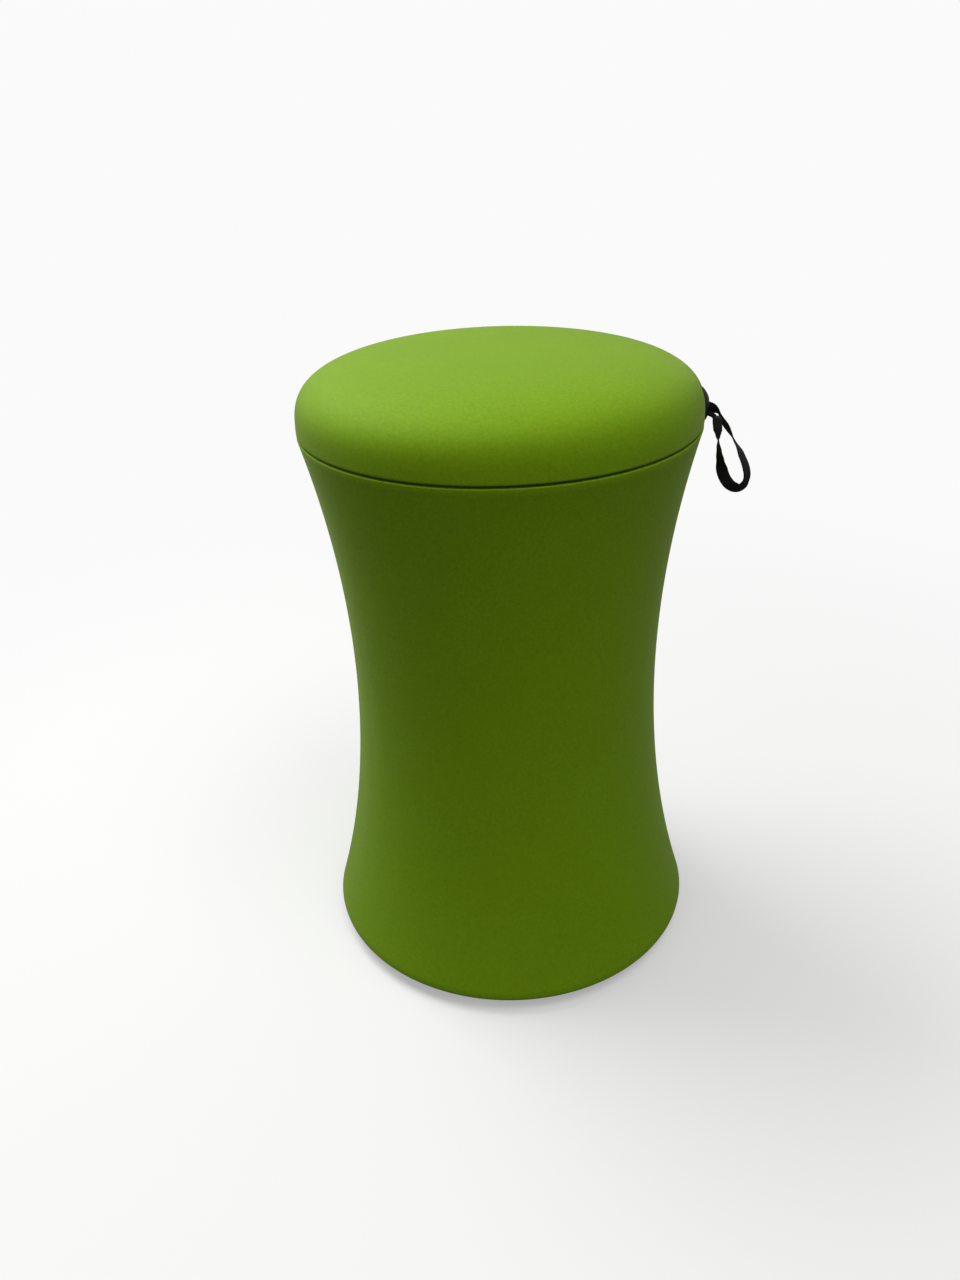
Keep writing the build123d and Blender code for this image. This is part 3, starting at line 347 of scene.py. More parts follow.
# ---------------------------------------------------------------- finishes
@dataclass(frozen=True)
class StretchKnit:
    """Brushed polyester jersey with elastane, as on stretch covers: matt, with a soft halo."""

    name: str
    face: str = "#7ca40a"
    # painted shade: groove is the knit's colour darkened where the grooves between the wales lie; face is
    # the colour on the crests
    groove: str = "#608808"
    # Real jersey has about 0.6 mm between its wales. It is drawn coarser, so that it shows.
    wale: float = 1.4 * MM
    course: float = 1.0 * MM
    climb: float = 1.3  # courses that a stitch's arm climbs over a wale's width
    groove_fall: float = 8.0  # how deep the groove between two wales is cut
    dye_patch: float = 70 * MM  # yarn dyes a little unevenly over a hand's width
    slub: float = 2.2 * MM  # thick and thin places of the yarn: a fine grain from further off
    # how much of the tone comes from the painted shade in the stitches' grooves, from the slubs and from the
    # dye, and what is taken off
    tone: tuple[float, float, float, float] = (0.55, 1.4, 0.25, -0.42)
    nap: float = 0.5  # how much the slubs add to the relief
    relief: tuple[float, float] = (0.12 * MM, 0.6)
    roughness: float = 0.68  # filament yarn: dull, with a broad pale highlight
    glint: float = 0.48
    glint_tint: str = "#b2be72"
    sheen: float = 0.27  # fibre ends that catch the light at the edge of the form
    sheen_roughness: float = 0.35
    sheen_tint: str = "#e2ebb2"

    def stitches(self, tree: Tree) -> Socket:
        """Draws chevron stitches in wales.

        Args:
            tree: The material's node tree.

        Returns:
            The socket with the stitches' height, from 0 in a groove to 1 on a crest.
        """
        uv = add_node(tree, "ShaderNodeUVMap", {"uv_map": "metres"})
        split = add_node(tree, "ShaderNodeSeparateXYZ", Vector=uv.outputs["UV"])
        across = calc(tree, "DIVIDE", split.outputs["X"], self.wale)
        along = calc(tree, "DIVIDE", split.outputs["Y"], self.course)
        side = calc(tree, "ABSOLUTE", calc(tree, "SUBTRACT", calc(tree, "FRACT", across), 0.5))
        # each stitch is a V: its course climbs away from the middle of the wale
        slant = calc(tree, "MULTIPLY_ADD", side, self.climb, along)
        wave = calc(tree, "SINE", calc(tree, "MULTIPLY", slant, TURN))
        edge = calc(tree, "POWER", side, 3.0)
        stitch = calc(tree, "MULTIPLY_ADD", edge, -self.groove_fall, wave)
        return add_node(
            tree, "ShaderNodeMapRange", None,
            Value=stitch, From_Min=-2.0, From_Max=1.0, To_Min=0.0, To_Max=1.0,
        ).outputs[0]

    def build(self) -> Material:
        """Makes the material: stitches with painted shade in their grooves, a fine grain, a little mottling,
        and sheen.

        Returns:
            The material.
        """
        material, tree, output = fresh_material(self.name)
        height = self.stitches(tree)
        place = add_node(tree, "ShaderNodeTexCoord").outputs["Object"]
        dye = noise(tree, place, self.dye_patch, 3.0, 0.6)
        slubs = noise(tree, place, self.slub, 2.0, 0.7)
        stitch_shade_share, of_slubs, of_dye, offset = self.tone
        tone = calc(tree, "MULTIPLY_ADD", height, stitch_shade_share, offset)
        tone = calc(tree, "MULTIPLY_ADD", slubs, of_slubs, tone)
        tone = calc(tree, "MULTIPLY_ADD", dye, of_dye, tone, clamp=True)
        # painted shade: the low places of the stitches take the darker groove colour
        colour = colour_between(tree, tone, self.groove, self.face)
        nap = calc(tree, "MULTIPLY_ADD", slubs, self.nap, height)
        surface(
            tree, output, nap, self.relief,
            Base_Color=colour, Roughness=self.roughness, IOR=1.5,
            Specular_IOR_Level=self.glint, Specular_Tint=srgb(self.glint_tint),
            Sheen_Weight=self.sheen, Sheen_Roughness=self.sheen_roughness,
            Sheen_Tint=srgb(self.sheen_tint),
        )
        return material


@dataclass(frozen=True)
class Webbing:
    """Woven nylon webbing, black: ribs across its width, a slight gloss on each rib."""

    name: str = "black_nylon_webbing"
    yarn: str = "#0d0d0e"
    # painted shade: the yarn's colour darkened in the low places between the ribs
    gap_shade: str = "#030304"
    rib: float = 0.9 * MM
    warp_share: float = 0.6  # distance between warp yarns, as a share of the ribs' distance
    warp_height: float = 0.5  # height of the warp yarns, as a share of the ribs' height
    relief: tuple[float, float] = (0.15 * MM, 0.8)
    roughness: float = 0.55
    glint: float = 0.3
    sheen: float = 0.05

    def build(self) -> Material:
        """Makes the material: ribs across the length, crossed by a finer herringbone, with painted shade in
        the low places of the weave.

        Returns:
            The material.
        """
        material, tree, output = fresh_material(self.name)
        uv = add_node(tree, "ShaderNodeUVMap", {"uv_map": "metres"})
        split = add_node(tree, "ShaderNodeSeparateXYZ", Vector=uv.outputs["UV"])
        weft = calc(tree, "MULTIPLY", split.outputs["Y"], TURN / self.rib)
        warp = calc(tree, "MULTIPLY", split.outputs["X"], TURN / (self.warp_share * self.rib))
        ribs = calc(tree, "SINE", weft)
        herringbone = calc(tree, "SINE", calc(tree, "ADD", warp, ribs))
        weave = calc(tree, "MULTIPLY_ADD", herringbone, self.warp_height, ribs)
        highest = 1 + self.warp_height
        height = add_node(
            tree, "ShaderNodeMapRange", None,
            Value=weave, From_Min=-highest, From_Max=highest, To_Min=0.0, To_Max=1.0,
        ).outputs[0]
        surface(
            tree, output, height, self.relief,
            # painted shade: the weave's low places take the darker colour
            Base_Color=colour_between(tree, height, self.gap_shade, self.yarn),
            Roughness=self.roughness, IOR=1.53, Specular_IOR_Level=self.glint,
            Sheen_Weight=self.sheen, Sheen_Roughness=0.4,
        )
        return material


class Grain(Enum):
    """How a moulded or rolled surface is broken up."""

    SPARK_ERODED = "spark_eroded"  # the even orange-peel of a textured mould
    BRUSHED = "brushed"  # fine scratches round the axis
    SMOOTH = "smooth"  # polished, with only faint waviness


@dataclass(frozen=True)
class SolidFinish:
    """A moulded, painted, turned or cast finish with one base colour."""

    name: str
    colour: str
    shade: str
    roughness: float
    metallic: float = 0.0
    ior: float = 1.5
    coat: float = 0.0
    grain: Grain = Grain.SPARK_ERODED
    grit: float = 0.8 * MM  # distance between the grains of the surface
    relief: float = 0.04 * MM
    relief_strength: float = 0.5
    patch: float = 35 * MM  # distance over which tone and gloss change
    gloss_swing: float = 0.15  # share by which the roughness goes up and down

    def build(self) -> Material:
        """Makes the material: its grain as relief, and a slow change of tone and gloss.

        Returns:
            The material.
        """
        material, tree, output = fresh_material(self.name)
        place = add_node(tree, "ShaderNodeTexCoord").outputs["Object"]
        stretch = {
            Grain.SPARK_ERODED: (1.0, 1.0, 1.0),
            Grain.BRUSHED: (0.06, 0.06, 1.0),
            Grain.SMOOTH: (0.2, 0.2, 0.2),
        }[self.grain]
        mapped = add_node(tree, "ShaderNodeMapping", None, Vector=place, Scale=stretch)
        grain = noise(tree, mapped.outputs[0], self.grit, 2.0, 0.5)
        patch = noise(tree, place, self.patch, 4.0, 0.6)
        gloss = add_node(
            tree, "ShaderNodeMapRange", None, Value=patch, From_Min=0.3, From_Max=0.7,
            To_Min=self.roughness * (1 - self.gloss_swing),
            To_Max=min(1.0, self.roughness * (1 + self.gloss_swing)),
        )
        surface(
            tree, output, grain, (self.relief, self.relief_strength),
            Base_Color=colour_between(tree, patch, self.shade, self.colour),
            Roughness=gloss.outputs[0], Metallic=self.metallic,
            IOR=self.ior, Coat_Weight=self.coat,
        )
        return material


# ABS from a spark-eroded mould: dull black with a soft highlight
GUIDE_ABS = SolidFinish("moulded_black_abs", "#1b1b1d", "#121214", 0.45, ior=1.53)


# ---------------------------------------------------------------- sub-assemblies
@dataclass
class SeatPad:
    """Padded seat: knit drawn over a foam crown and tucked under the pan's wall."""

    squareness: float = 3.444  # exponent of the crown's superellipse
    seam_drop: float = 1.0 * MM  # the widest line lies this far under the cover's lower edge
    lip_roll: float = 1.2 * MM
    overhang: float = 0.8 * MM  # the knit's edge hangs this far under its foam
    tuck_radius: float = 161.5 * MM
    slack: float = 2.0 * MM  # the skin is cut this much smaller than the foam
    most_move: float = 3.0 * MM  # furthest that the simulation may carry a point
    knit_depth: float = 1.2 * MM
    segments: int = 144
    steps: int = 44
    roll_steps: int = 6
    opening: tuple[float, float] = (5.0 * MM, 10.0 * MM)  # half width and height behind the guide
    pressure: float = 4.0
    tension: float = 25.0
    bending: float = 4.0
    frames: int = 20
    finish: StretchKnit = field(default_factory=lambda: StretchKnit("seat_stretch_knit"))

    def __post_init__(self) -> None:
        """Reads the crown's size from the frame."""
        low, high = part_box("seat_cover")
        self.radius = (high.y - low.y) / 2
        self.seam_z = low.z - self.seam_drop
        self.height = high.z - self.seam_z
        self.low_z = low.z - self.overhang

    def profile(self) -> Pairs:
        """Lists the slack skin's section from the crown's middle to its tucked edge.

        Returns:
            Pairs of radius and height.
        """
        power = 2 / self.squareness
        reach, rise = self.radius - self.slack, self.height - self.slack
        turn_z = self.low_z + self.lip_roll
        crown = []
        for i in range(1, self.steps):
            t = math.pi / 2 * (1 - i / self.steps)
            point = (reach * math.cos(t) ** power, self.seam_z + rise * math.sin(t) ** power)
            if point[1] > turn_z + 0.5 * self.lip_roll:
                crown.append(point)
        roll = []
        for i in range(self.roll_steps + 1):
            t = math.pi / 2 * i / self.roll_steps
            r = self.radius - self.lip_roll * (1 - math.cos(t))
            roll.append((r, turn_z - self.lip_roll * math.sin(t)))
        inner, outer = self.tuck_radius, self.radius - self.lip_roll
        tuck = [(inner + (outer - inner) * share, self.low_z) for share in (0.6, 0.3, 0.0)]
        return crown + roll + tuck

    def skin(self) -> Piece:
        """Makes the cover's outer skin as rings round the axis, closed at the crown's middle.

        Returns:
            The skin, one layer thick.
        """
        section = self.profile()
        arc = [section[0][0]]
        for (r0, z0), (r1, z1) in zip(section, section[1:]):
            arc.append(arc[-1] + math.hypot(r1 - r0, z1 - z0))
        turns = [TURN * k / self.segments for k in range(self.segments + 1)]
        rings = [[(r * math.cos(a), r * math.sin(a), z) for a in turns[:-1]] for r, z in section]
        uvs = [[(s * math.cos(a), s * math.sin(a)) for a in turns] for s in arc]
        pad = lofted("seat_pad", rings, uvs)
        bm = bmesh.new()
        bm.from_mesh(pad.data)
        bm.verts.ensure_lookup_table()
        layer = bm.loops.layers.uv["metres"]
        cap = bm.faces.new(bm.verts[: self.segments])
        poked = bmesh.ops.poke(bm, faces=[cap])
        for vert in poked["verts"]:
            vert.co.z = self.seam_z + self.height - self.slack
        for face in poked["faces"]:
            face.smooth = True
            for loop in face.loops:
                loop[layer].uv = loop.vert.co.xy
        face_outward(bm)
        bm.to_mesh(pad.data)
        bm.free()
        return pad

    def fill_out(self, pad: Piece) -> None:
        """Blows the skin up by cloth simulation, held along its tucked edge.

        Args:
            pad: The skin, changed in place.
        """
        start = [vert.co.copy() for vert in pad.data.vertices]
        held = pad.vertex_groups.new(name="held")
        held_z = self.low_z + 0.2 * self.lip_roll
        edge = [vert.index for vert in pad.data.vertices if vert.co.z < held_z]
        held.add(edge, 1.0, "REPLACE")
        cloth = pad.modifiers.new("fill", "CLOTH")
        cloth.settings.vertex_group_mass = "held"
        cloth.settings.use_pressure = True
        cloth.settings.uniform_pressure_force = self.pressure
        cloth.settings.tension_stiffness = self.tension
        cloth.settings.bending_stiffness = self.bending
        cloth.settings.quality = 6
        cloth.settings.effector_weights.gravity = 0.0
        cloth.point_cache.frame_start = 1
        cloth.point_cache.frame_end = self.frames
        for step in range(1, self.frames + 1):
            bpy.context.scene.frame_set(step)
        apply_modifiers(pad)
        bpy.context.scene.frame_set(1)
        pad.vertex_groups.clear()
        for vert, before in zip(pad.data.vertices, start):
            move = vert.co - before
            if move.length > self.most_move:
                vert.co = before + move.normalized() * self.most_move

    def rest_on_foam(self, pad: Piece) -> None:
        """Lays every point that is still inside the crown onto it, where the foam holds it.

        Args:
            pad: The filled skin, changed in place.
        """
        for vert in pad.data.vertices:
            out = vert.co.xy.length / self.radius
            up = (vert.co.z - self.seam_z) / self.height
            if up < self.lip_roll / self.height:
                continue
            depth = (out**self.squareness + up**self.squareness) ** (1 / self.squareness)
            if depth < 1:
                vert.co.x /= depth
                vert.co.y /= depth
                vert.co.z = self.seam_z + (vert.co.z - self.seam_z) / depth

    def cut_opening(self, pad: Piece) -> None:
        """Opens the knit behind the strap's guide.

        Args:
            pad: The skin, changed in place.
        """
        low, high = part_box("strap_guide")
        middle = (low.z + high.z) / 2
        half_y, half_z = self.opening
        bm = bmesh.new()
        bm.from_mesh(pad.data)
        planes = [((0, side * half_y, 0), (0, 1, 0)) for side in (-1, 1)]
        planes += [((0, 0, middle + side * half_z), (0, 0, 1)) for side in (-1, 1)]
        for place, normal in planes:
            near = [face for face in bm.faces if self.is_near(face, middle)]
            around = {edge for face in near for edge in face.edges}
            around |= {vert for face in near for vert in face.verts}
            bmesh.ops.bisect_plane(bm, geom=[*near, *around], plane_co=place, plane_no=normal)
        gone = []
        for face in bm.faces:
            centre = face.calc_center_median()
            if centre.x > 0 and abs(centre.y) < half_y and abs(centre.z - middle) < half_z:
                gone.append(face)
        bmesh.ops.delete(bm, geom=gone, context="FACES")
        bm.to_mesh(pad.data)
        bm.free()

    def is_near(self, face: bmesh.types.BMFace, middle: float) -> bool:
        """Tells whether a face lies round the guide, so that the opening's cuts go through it.

        Args:
            face: The face.
            middle: The guide's height.

        Returns:
            True if it does.
        """
        centre = face.calc_center_median()
        reach_y, reach_z = 3 * self.opening[0], 2 * self.opening[1]
        return centre.x > 0 and abs(centre.y) < reach_y and abs(centre.z - middle) < reach_z

    def build(self) -> Piece:
        """Makes, fills, thickens and dresses the pad, and rides it on the seat.

        Returns:
            The pad.
        """
        pad = self.skin()
        self.fill_out(pad)
        self.rest_on_foam(pad)
        self.cut_opening(pad)
        shell = pad.modifiers.new("knit", "SOLIDIFY")
        shell.thickness = self.knit_depth
        shell.offset = -1.0
        fine = pad.modifiers.new("fine", "SUBSURF")
        fine.levels = fine.render_levels = 1
        apply_modifiers(pad)
        dress(pad, self.finish.build())
        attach(pad, "seat")
        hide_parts("seat_cover")
        return pad


@dataclass
class Sleeve:
    """Hourglass sleeve: a knit tube held open by the floor rim below and the hoop above."""

    waist: float = 145.0 * MM
    waist_z: float = 283.0 * MM
    widest_z: float = 17.0 * MM
    rim_round: float = 5.0 * MM
    knit_depth: float = 0.8 * MM
    hem_round: float = 0.9 * MM
    hem_drop: float = 1.0 * MM  # the hem lies this far under the sleeve's outer size
    hem_reach: float = 12.0 * MM
    lip_radius: float = 171.5 * MM
    segments: int = 160
    rows: int = 90
    rim_steps: int = 8
    hem_steps: int = 6
    seam_turn: float = math.pi / 2  # the tube's closing seam runs up the back
    seam_half: float = 1.6 * MM
    # columns beside the seam, in half widths of the seam from its middle
    seam_columns: tuple[float, ...] = (-2, -1, -0.6, -0.3, 0, 0.3, 0.6, 1, 2)
    seam_depth: float = 0.25 * MM
    pull_depth: float = 0.05 * MM
    finish: StretchKnit = field(default_factory=lambda: StretchKnit("sleeve_stretch_knit"))

    def __post_init__(self) -> None:
        """Reads the sleeve's ends from the frame."""
        low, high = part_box("stretch_sleeve")
        self.rim = (high.y - low.y) / 2
        self.low_z = low.z
        self.top_z = high.z - self.hem_drop
        cover_low, cover_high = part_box("seat_cover")
        self.top = (cover_high.y - cover_low.y) / 2

    def side(self, z: float) -> float:
        """Finds how wide the stretched knit is: a catenary from the waist to each ring.

        Args:
            z: The height.

        Returns:
            The radius there.
        """
        end_r, end_z = (self.rim, self.widest_z) if z < self.waist_z else (self.top, self.top_z)
        spread = (end_z - self.waist_z) / math.acosh(end_r / self.waist)
        return self.waist * math.cosh((z - self.waist_z) / spread)

    def outer(self) -> Pairs:
        """Lists the outer face's section, from the lip under the rim to the hem's inner edge.

        Returns:
            Pairs of radius and height.
        """
        points = [(self.lip_radius, self.low_z), (self.rim - 1.6 * self.rim_round, self.low_z)]
        for i in range(1, self.rim_steps):
            t = math.pi / 2 * (1 - i / self.rim_steps)
            r = self.rim - self.rim_round + self.rim_round * math.cos(t)
            points.append((r, self.widest_z - self.rim_round * math.sin(t)))
        hem_start = self.top_z - self.hem_round
        for i in range(self.rows + 1):
            z = self.widest_z + (hem_start - self.widest_z) * i / self.rows
            points.append((self.side(z), z))
        centre_r = self.side(hem_start) - self.hem_round
        for i in range(1, self.hem_steps + 1):
            t = math.pi / 2 * i / self.hem_steps
            r = centre_r + self.hem_round * math.cos(t)
            points.append((r, hem_start + self.hem_round * math.sin(t)))
        points.append((centre_r - self.hem_reach / 2, self.top_z))
        points.append((centre_r - self.hem_reach, self.top_z))
        return points

    def turns(self) -> list[float]:
        """Lists the angles of the columns, closer together beside the seam.

        Returns:
            The angles in order.
        """
        even = [TURN * k / self.segments for k in range(self.segments)]
        near = [share * self.seam_half / self.waist for share in self.seam_columns]
        clear = 2.5 * self.seam_half / self.waist
        kept = [a for a in even if abs(a - self.seam_turn) > clear]
        return sorted(kept + [self.seam_turn + a for a in near])

    def relief(self, turn: float, z: float) -> float:
        """Finds how far the knit stands off its smooth form, at the seam and in pull lines.

        Args:
            turn: The angle round the axis.
            z: The height.

        Returns:
            The distance outwards, below 0 in the seam's groove.
        """
        off = (turn - self.seam_turn) * self.waist / self.seam_half
        groove = math.exp(-((off / 0.35) ** 2))
        banks = math.exp(-(((abs(off) - 1) / 0.6) ** 2))
        seam = -self.seam_depth * groove + self.seam_depth * banks
        # the pull lines are uneven, and die out towards both rings
        ease = math.sin(math.pi * (z - self.low_z) / (self.top_z - self.low_z)) ** 2
        pull = math.sin(23 * turn + 1.3 * math.sin(3 * turn)) + 0.6 * math.sin(37 * turn + 2.0)
        return seam + self.pull_depth * pull * ease

    def build(self) -> Piece:
        """Makes and dresses the sleeve, and hides the CAD sleeve.

        Returns:
            The sleeve.
        """
        outside = self.outer()
        turns = self.turns()
        rings, uvs = [], []
        climb = 0.0
        for index, (r, z) in enumerate(outside):
            if index:
                climb += math.hypot(r - outside[index - 1][0], z - outside[index - 1][1])
            ring = []
            for turn in turns:
                reach = r + self.relief(turn, z)
                ring.append((reach * math.cos(turn), reach * math.sin(turn), z))
            rings.append(ring)
            uvs.append([(turn * self.waist, climb) for turn in turns + [turns[0] + TURN]])
        sleeve = lofted("stretch_sleeve_knit", rings, uvs)
        shell = sleeve.modifiers.new("knit", "SOLIDIFY")
        shell.thickness = self.knit_depth
        shell.offset = -1.0
        apply_modifiers(sleeve)
        dress(sleeve, self.finish.build())
        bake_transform(sleeve)
        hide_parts("stretch_sleeve")
        return sleeve


@dataclass
class StrapPull:
    """Pull loop: flat webbing that leaves the guide, hangs twisted and ends in a keeper."""

    width: float = 10.0 * MM
    depth: float = 1.2 * MM
    length: float = 155.0 * MM
    route: tuple[Point, ...] = (
        (0.1740, 0.0, 0.5356), (0.1846, 0.0, 0.5336), (0.1916, 0.0, 0.5218),
        (0.1990, 0.0, 0.5096), (0.2074, 0.0, 0.4954), (0.2134, 0.0, 0.4820),
        (0.2146, 0.0, 0.4724), (0.2098, -0.0004, 0.4638), (0.2006, -0.0010, 0.4662),
        (0.1938, -0.0018, 0.4758), (0.1908, -0.0028, 0.4882), (0.1888, -0.0036, 0.4986),
        (0.1874, -0.0040, 0.5090), (0.1856, -0.0040, 0.5190),
    )
    # pairs of a share of the length and the band's turn there in degrees: 0 faces -Y
    twist: Pairs = (
        (0.0, 0.0), (0.03, -4.0), (0.1, -76.0), (0.17, -60.0),
        (0.285, -90.0), (0.37, -116.0), (0.46, -125.0), (0.52, -128.0),
        (0.56, -142.0), (0.62, -168.0), (0.66, -180.0), (0.73, -178.0),
        (0.81, -128.0), (0.87, -110.0), (0.925, -90.0), (0.96, -50.0),
        (1.0, -8.0),
    )
    # pairs of a share of the length and of the width: the end is gathered into the keeper
    gather: Pairs = ((0.9, 1.0), (0.95, 0.6), (1.0, 0.55))
    tail_route: tuple[Point, ...] = (
        (0.1735, -0.0014, 0.5316), (0.1788, -0.0026, 0.5302), (0.1824, -0.0038, 0.5288),
        (0.1838, -0.0040, 0.5258), (0.1848, -0.0040, 0.5236),
    )
    tail_share: float = 0.42  # the tail is folded lengthwise to under half its width
    # the keeper's sections from its tapered neck upwards: height, middle in X and half width,
    # in millimetres
    keeper_sections: tuple[tuple[float, float, float], ...] = (
        (509.4, 187.4, 1.2), (511.2, 187.1, 1.7), (513.6, 186.7, 2.6),
        (515.6, 186.4, 3.3), (516.2, 186.3, 3.7), (519.5, 185.9, 3.9),
        (523.5, 185.4, 4.0), (526.6, 185.1, 3.9), (527.9, 185.0, 3.5),
        (528.6, 185.0, 2.7),
    )
    keeper_depth: float = 1.8 * MM  # half of its thickness
    # a section's share of the depth at no width, and the half width in millimetres that adds 1
    keeper_taper: tuple[float, float] = (0.35, 5.6)
    keeper_square: float = 0.6
    keeper_segments: int = 28
    bend_steps: int = 16  # points of the line between two control points
    edge_steps: int = 5  # faces round each of the band's rounded edges
    least_step: float = 0.2 * MM
    finish: Webbing = field(default_factory=Webbing)
    clasp: SolidFinish = GUIDE_ABS

    def line(self, route: Sequence[Point]) -> list[Vector]:
        """Reads a centreline from a smooth spline whose control points are a route.

        Args:
            route: The control points.

        Returns:
            Points along the line, none closer to the last than the least step.
        """
        curve = bpy.data.curves.new("loop_route", "CURVE")
        curve.dimensions = "3D"
        curve.resolution_u = self.bend_steps
        spline = curve.splines.new("NURBS")
        spline.points.add(len(route) - 1)
        for point, place in zip(spline.points, route):
            point.co = (*place, 1.0)
        spline.order_u = 3
        spline.use_endpoint_u = True
        holder = bpy.data.objects.new("loop_route", curve)
        bpy.context.scene.collection.objects.link(holder)
        mesh = bpy.data.meshes.new_from_object(holder)
        points = [mesh.vertices[0].co.copy()]
        for vert in mesh.vertices:
            if (vert.co - points[-1]).length > self.least_step:
                points.append(vert.co.copy())
        bpy.data.objects.remove(holder)
        bpy.data.meshes.remove(mesh)
        return points

    def section(self) -> Pairs:
        """Lists the webbing's flat section, with its two edges rounded.

        Returns:
            Points round it, as pairs of a place across the band and one through it.
        """
        half, edge = self.width / 2, self.depth / 2
        points = []
        for start, middle in ((-math.pi / 2, half - edge), (math.pi / 2, -half + edge)):
            for i in range(self.edge_steps + 1):
                t = start + math.pi * i / self.edge_steps
                points.append((middle + edge * math.cos(t), edge * math.sin(t)))
            facing = math.copysign(1.0, middle)
            points += [(facing * half * share, facing * edge) for share in (0.5, 0.0, -0.5)]
        return points

    def band(self, name: str, line: Sequence[Vector], twist: Pairs, gather: Pairs) -> Piece:
        """Sweeps the webbing's flat section along a line, turned and gathered as it goes.

        Args:
            name: The object's name.
            line: Points of the centreline.
            twist: Pairs of a share of the length and the band's turn there, in degrees.
            gather: Pairs of a share of the length and the share of the full width there.

        Returns:
            The closed band.
        """
        section = self.section()
        runs = [0.0]
        for a, b in zip(line, line[1:]):
            runs.append(runs[-1] + (b - a).length)
        girth = [0.0]
        for (x0, y0), (x1, y1) in zip(section, section[1:] + section[:1]):
            girth.append(girth[-1] + math.hypot(x1 - x0, y1 - y0))
        rings, uvs = [], []
        for index, point in enumerate(line):
            ahead, behind = line[min(index + 1, len(line) - 1)], line[max(index - 1, 0)]
            tangent = (ahead - behind).normalized()
            in_plane = tangent.cross(Vector((0, 1, 0))).normalized()
            toward = in_plane.cross(tangent).normalized()
            share = runs[index] / runs[-1]
            turn = math.radians(smoothed(twist, share))
            wide = in_plane * math.cos(turn) + toward * math.sin(turn)
            thick = tangent.cross(wide).normalized()
            narrow = smoothed(gather, share)
            rings.append([tuple(point + wide * x * narrow + thick * y) for x, y in section])
            uvs.append([(g, runs[index]) for g in girth])
        return lofted(name, rings, uvs, cap_ends=True)

    def keeper(self) -> Piece:
        """Makes the keeper: a flat moulded clasp that tapers to a neck round the webbing.

        Returns:
            The keeper.
        """
        rings, uvs = [], []
        middle_y = self.tail_route[-1][1]
        turns = [TURN * k / self.keeper_segments for k in range(self.keeper_segments + 1)]
        least, growth = self.keeper_taper
        for height, middle, half in self.keeper_sections:
            depth = self.keeper_depth * min(1.0, least + half / growth)
            ring = []
            for turn in turns[:-1]:
                across, through = rounded_corner(turn, self.keeper_square)
                x = middle * MM + half * MM * across
                ring.append((x, middle_y + depth * through, height * MM))
            rings.append(ring)
            uvs.append([(turn * half * MM, height * MM) for turn in turns])
        clasp = lofted("webbing_keeper", rings, uvs, cap_ends=True)
        dress(clasp, self.clasp.build())
        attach(clasp, "pull_strap")
        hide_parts("loop_keeper")
        return clasp

    def build(self) -> list[Piece]:
        """Makes and dresses the loop, the folded tail beside it and the keeper round both.

        Returns:
            The loop, the tail and the keeper.
        """
        line = self.line(self.route)
        loop = self.band("strap_loop_webbing", line, self.twist, self.gather)
        flat, folded = [(0.0, 0.0)], [(0.0, self.tail_share)]
        tail = self.band("strap_tail_webbing", self.line(self.tail_route), flat, folded)
        material = self.finish.build()
        for strap in (loop, tail):
            strap.data.materials.append(material)
            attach(strap, "pull_strap")
        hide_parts("strap_loop")
        keeper = self.keeper()
        return [loop, tail, keeper]


@dataclass
class StrapGuide:
    """Escutcheon: a slim moulded lens on the seat's side, with the strap's slot."""

    bulge: float = 3.7 * MM  # how far its middle stands off the seat
    fullness: float = 0.65  # under 1, the dome rises steeply behind its rim
    sunk: float = 0.3 * MM  # its rim presses into the knit
    skirt: float = 3.0 * MM  # the wall behind the rim, in the padding
    collar: float = 8.0 * MM  # how far the slot's wall reaches inwards
    slot_half: tuple[float, float] = (2.2 * MM, 6.4 * MM)
    slot_z: float = 535.0 * MM
    slot_square: float = 0.4
    edge_round: float = 0.6 * MM
    # rings of the dome, each by its share of the way from the slot to the rim
    dome_rings: tuple[float, ...] = (0.2, 0.35, 0.5, 0.65, 0.8, 0.9, 0.96, 1.0)
    segments: int = 72
    finish: SolidFinish = GUIDE_ABS

    def __post_init__(self) -> None:
        """Reads the seat's form, which the guide's face follows."""
        self.pad = SeatPad()

    def seat_x(self, y: float, z: float) -> float:
        """Finds the seat's side.

        Args:
            y: Where it is looked for, to the side.
            z: Where it is looked for, in height.

        Returns:
            How far out in X it lies there.
        """
        rise = max(0.0, (z - self.pad.seam_z) / self.pad.height)
        radius = self.pad.radius * (1 - rise**self.pad.squareness) ** (1 / self.pad.squareness)
        return math.sqrt(radius**2 - y**2)

    def build(self) -> Piece:
        """Makes and dresses the guide, and rides it on the seat.

        Returns:
            The guide.
        """
        low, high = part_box("strap_guide")
        middle, half_z = (low.z + high.z) / 2, (high.z - low.z) / 2
        half_y = (high.y - low.y) / 2
        # each ring: its share of the way from the slot to the rim, and its depth under the dome
        steps = [(0.0, self.collar), (0.0, self.edge_round)]
        steps += [(0.03, 0.3 * self.edge_round), (0.08, 0.0)]
        steps += [(share, 0.0) for share in self.dome_rings]
        steps += [(1.0, self.skirt)]
        rings, uvs = [], []
        for share, depth in steps:
            ring = []
            for k in range(self.segments):
                turn = TURN * k / self.segments
                beside, above = rounded_corner(turn, self.slot_square)
                slot_y = self.slot_half[0] * beside
                slot_z = self.slot_z + self.slot_half[1] * above
                y = slot_y + (half_y * math.cos(turn) - slot_y) * share
                z = slot_z + (middle + half_z * math.sin(turn) - slot_z) * share
                dome = max(0.0, 1 - (y / half_y) ** 2 - ((z - middle) / half_z) ** 2)
                standing = (self.bulge + self.sunk) * dome**self.fullness
                ring.append((self.seat_x(y, z) - self.sunk + standing - depth, y, z))
            rings.append(ring)
            uvs.append([(k / self.segments, share) for k in range(self.segments + 1)])
        guide = lofted("strap_guide_lens", rings, uvs, loop_back=True)
        dress(guide, self.finish.build())
        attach(guide, "seat")
        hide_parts("strap_guide")
        return guide


